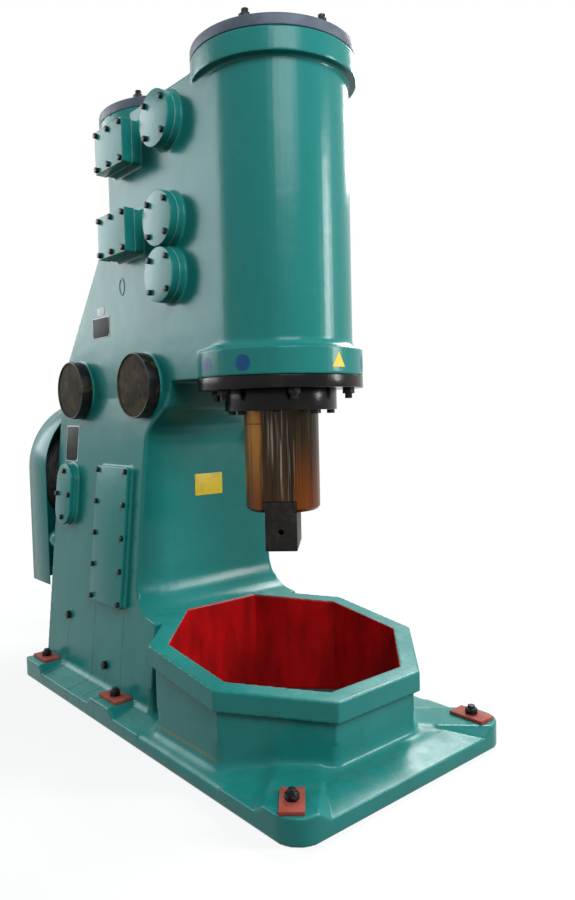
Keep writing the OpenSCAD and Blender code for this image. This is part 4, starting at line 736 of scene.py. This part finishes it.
red_primer, shader, place = new_finish("brick_red_primer", {"Specular IOR Level": 0.25})
dusty = (place.mottle(16, 6) * 0.7 + place.mottle(90, 4) * 0.3).step(0.42, 0.66)
dusty.tint(PRIMER_RED, PRIMER_RED_DUSTY).into(shader, "Base Color")
(0.5 + place.mottle(30, 4) * 0.2).into(shader, "Roughness")
place.mottle(140, 4).relief(0.0012).into(shader, "Normal")
washers = broken_edges("bolt_plates", "red_bolt_plates", WASHER_EDGE, segments=2)
fit(washers, red_primer, "red_plate", "frame", "bolt_plates")
bolts = broken_edges("foundation_bolts", "hexagon_foundation_bolts", NUT_EDGE, segments=2)
fit(bolts, bolt_steel, "dark_steel", "frame", "foundation_bolts")


# Running gear: crank, rod, piston and flywheel, and the valves with their levers on the right side. They keep
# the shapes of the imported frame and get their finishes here: turned and blackened steel, bronze, raw cast
# iron and rubber, and green paint on the valves' glands and the rear bearing's cap.
STEEL_BRIGHT = (0.42, 0.42, 0.41, 1)
STEEL_DULL = (0.30, 0.29, 0.27, 1)
IRON_RAW = (0.09, 0.09, 0.09, 1)
IRON_RAW_DARK = (0.05, 0.048, 0.045, 1)
BRONZE = (0.36, 0.20, 0.07, 1)
BRONZE_OILY = (0.22, 0.12, 0.05, 1)
RUBBER = (0.012, 0.012, 0.012, 1)
RUBBER_WORN = (0.022, 0.021, 0.020, 1)


def plain_finish(name, colour, worn, metallic, roughness, grain):
    """A machined or cast finish: one metal, a second shade in patches and a fine grain."""
    metal, shader, place = new_finish(name, {"Metallic": metallic, "Specular IOR Level": 0.3})
    patches = place.mottle(14, 6).step(0.4, 0.68)
    patches.tint(colour, worn).into(shader, "Base Color")
    (roughness + place.mottle(36, 4) * 0.15).into(shader, "Roughness")
    place.mottle(grain, 3).relief(0.0008).into(shader, "Normal")
    return metal


FINISHES = {
    "bright_steel": plain_finish("turned_bright_steel", STEEL_BRIGHT, STEEL_DULL, 1.0, 0.24, 220),
    "dark_steel": bolt_steel,
    "cast_iron": plain_finish("raw_cast_iron", IRON_RAW, IRON_RAW_DARK, 0.6, 0.5, 90),
    "bronze": plain_finish("oily_bronze", BRONZE, BRONZE_OILY, 1.0, 0.32, 180),
    "rubber": plain_finish("black_rubber", RUBBER, RUBBER_WORN, 0.0, 0.6, 160),
    "green_paint": cover_paint,
}
for subpart in frame["record"]["subparts"]:
    node = frame["nodes"][subpart["node"]]
    if not node.hide_render:
        node.data.materials.clear()
        node.data.materials.append(FINISHES[subpart["material_slot"]])


# Studio: a floor that looks pale, keeps the machine's shadow and goes over into white, but is dark inside the
# well and dark to light that bounces off it, a sky light behind on the left and another over the right side,
# a strong light at the front right, a fill from the front left, and the photographer's eye.
FLOOR_PALE = (0.86, 0.87, 0.88, 1)
FLOOR_DARK = (0.08, 0.075, 0.065, 1)
FLOOR_SIZE = 60
FLOOR_Z = -0.001
FLOOR_HOLE = (0.5, 0.52)
FLOOR_FADE = (1.9, 4.0)
FLOOR_WHITE = 0.78
AMBIENT = 0.26
SKY_BLUE = (0.90, 0.97, 1.0)
EYE = (-2.0659, -3.0094, 1.4178)
EYE_TURN = (86.957, 1.341, -40.658)
EYE_LENS = 29.354
EYE_FILM = 36


def to_the_eye(surface):
    """1 for what the eye sees, straight or by gloss or through glass, and 0 for light that bounces."""
    seen = surface.node("LightPath", (), (), "Is Camera Ray")
    for way in ["Is Glossy Ray", "Is Transmission Ray"]:
        seen = seen.larger(surface.node("LightPath", (), (), way))
    return seen


bpy.ops.object.select_all(action="DESELECT")
bpy.ops.mesh.primitive_plane_add(size=FLOOR_SIZE, location=(0, 0, FLOOR_Z))
floor = bpy.context.object
floor.name = "studio_floor"
floor_pale, shader, place = new_finish("pale_studio_floor", {"Roughness": 0.9, "Specular IOR Level": 0.0})
across = abs(place.along("X"))
depth = abs(place.along("Y") - RAM_Y)
# The floor is darker inside the well, and darker to light that bounces off it.
seen = to_the_eye(place) * across.larger(depth).step(*FLOOR_HOLE)
seen.tint(FLOOR_DARK, FLOOR_PALE).into(shader, "Base Color")
away = place.node("VectorMath", {"operation": "LENGTH"}, {0: place}, "Value").step(*FLOOR_FADE)
white = place.node("Emission", (), {"Color": (1, 1, 1, 1), "Strength": 1.0})
lit = Surface(floor_pale.node_tree, shader.outputs["BSDF"])
mixed = place.node("MixShader", (), {0: seen * (FLOOR_WHITE + away * (1 - FLOOR_WHITE)), 1: lit, 2: white})
floor_pale.node_tree.links.new(mixed.socket, floor_pale.node_tree.nodes["Material Output"].inputs["Surface"])
floor.data.materials.append(floor_pale)

world = bpy.data.worlds.new("white_studio")
bpy.context.scene.world = world
world.use_nodes = True
backdrop = world.node_tree.nodes["Background"]
backdrop.inputs["Color"].default_value = (1, 1, 1, 1)
shown = to_the_eye(Surface(world.node_tree, backdrop.outputs["Background"]))
(AMBIENT + shown * (1 - AMBIENT)).into(backdrop, "Strength")


def soft_light(name, place, aim, size, power, colour=(1, 1, 1)):
    """A rectangular soft box at a place, turned towards a point."""
    bpy.ops.object.light_add(type="AREA", location=place)
    box = bpy.context.object
    box.name = name
    box.data.shape = "RECTANGLE"
    box.data.size, box.data.size_y = size
    box.data.energy = power
    box.data.color = colour
    box.rotation_euler = (Vector(aim) - Vector(place)).to_track_quat("-Z", "Y").to_euler()


soft_light(
    "sky_light_left", (-4.2, 7.0, 4.4), aim=(-0.3, 0.2, 1.7), size=(6.0, 4.4), power=430, colour=SKY_BLUE
)
soft_light("sky_light_right", (4.4, 0.9, 4.8), aim=(0.1, -0.6, 0.8), size=(2.2, 2.2), power=290)
soft_light("strong_light_right", (3.9, -5.1, 3.0), aim=(0.0, -0.5, 1.5), size=(0.9, 2.6), power=260)
soft_light("front_fill", (-2.0, -5.0, 5.2), aim=(0.0, -0.5, 1.8), size=(3.0, 3.0), power=270, colour=SKY_BLUE)

bpy.ops.object.camera_add(location=EYE)
camera = bpy.context.object
camera.rotation_euler = [math.radians(angle) for angle in EYE_TURN]
camera.data.lens = EYE_LENS
camera.data.sensor_width = EYE_FILM
bpy.context.scene.camera = camera
bpy.context.scene.view_settings.view_transform = "Standard"
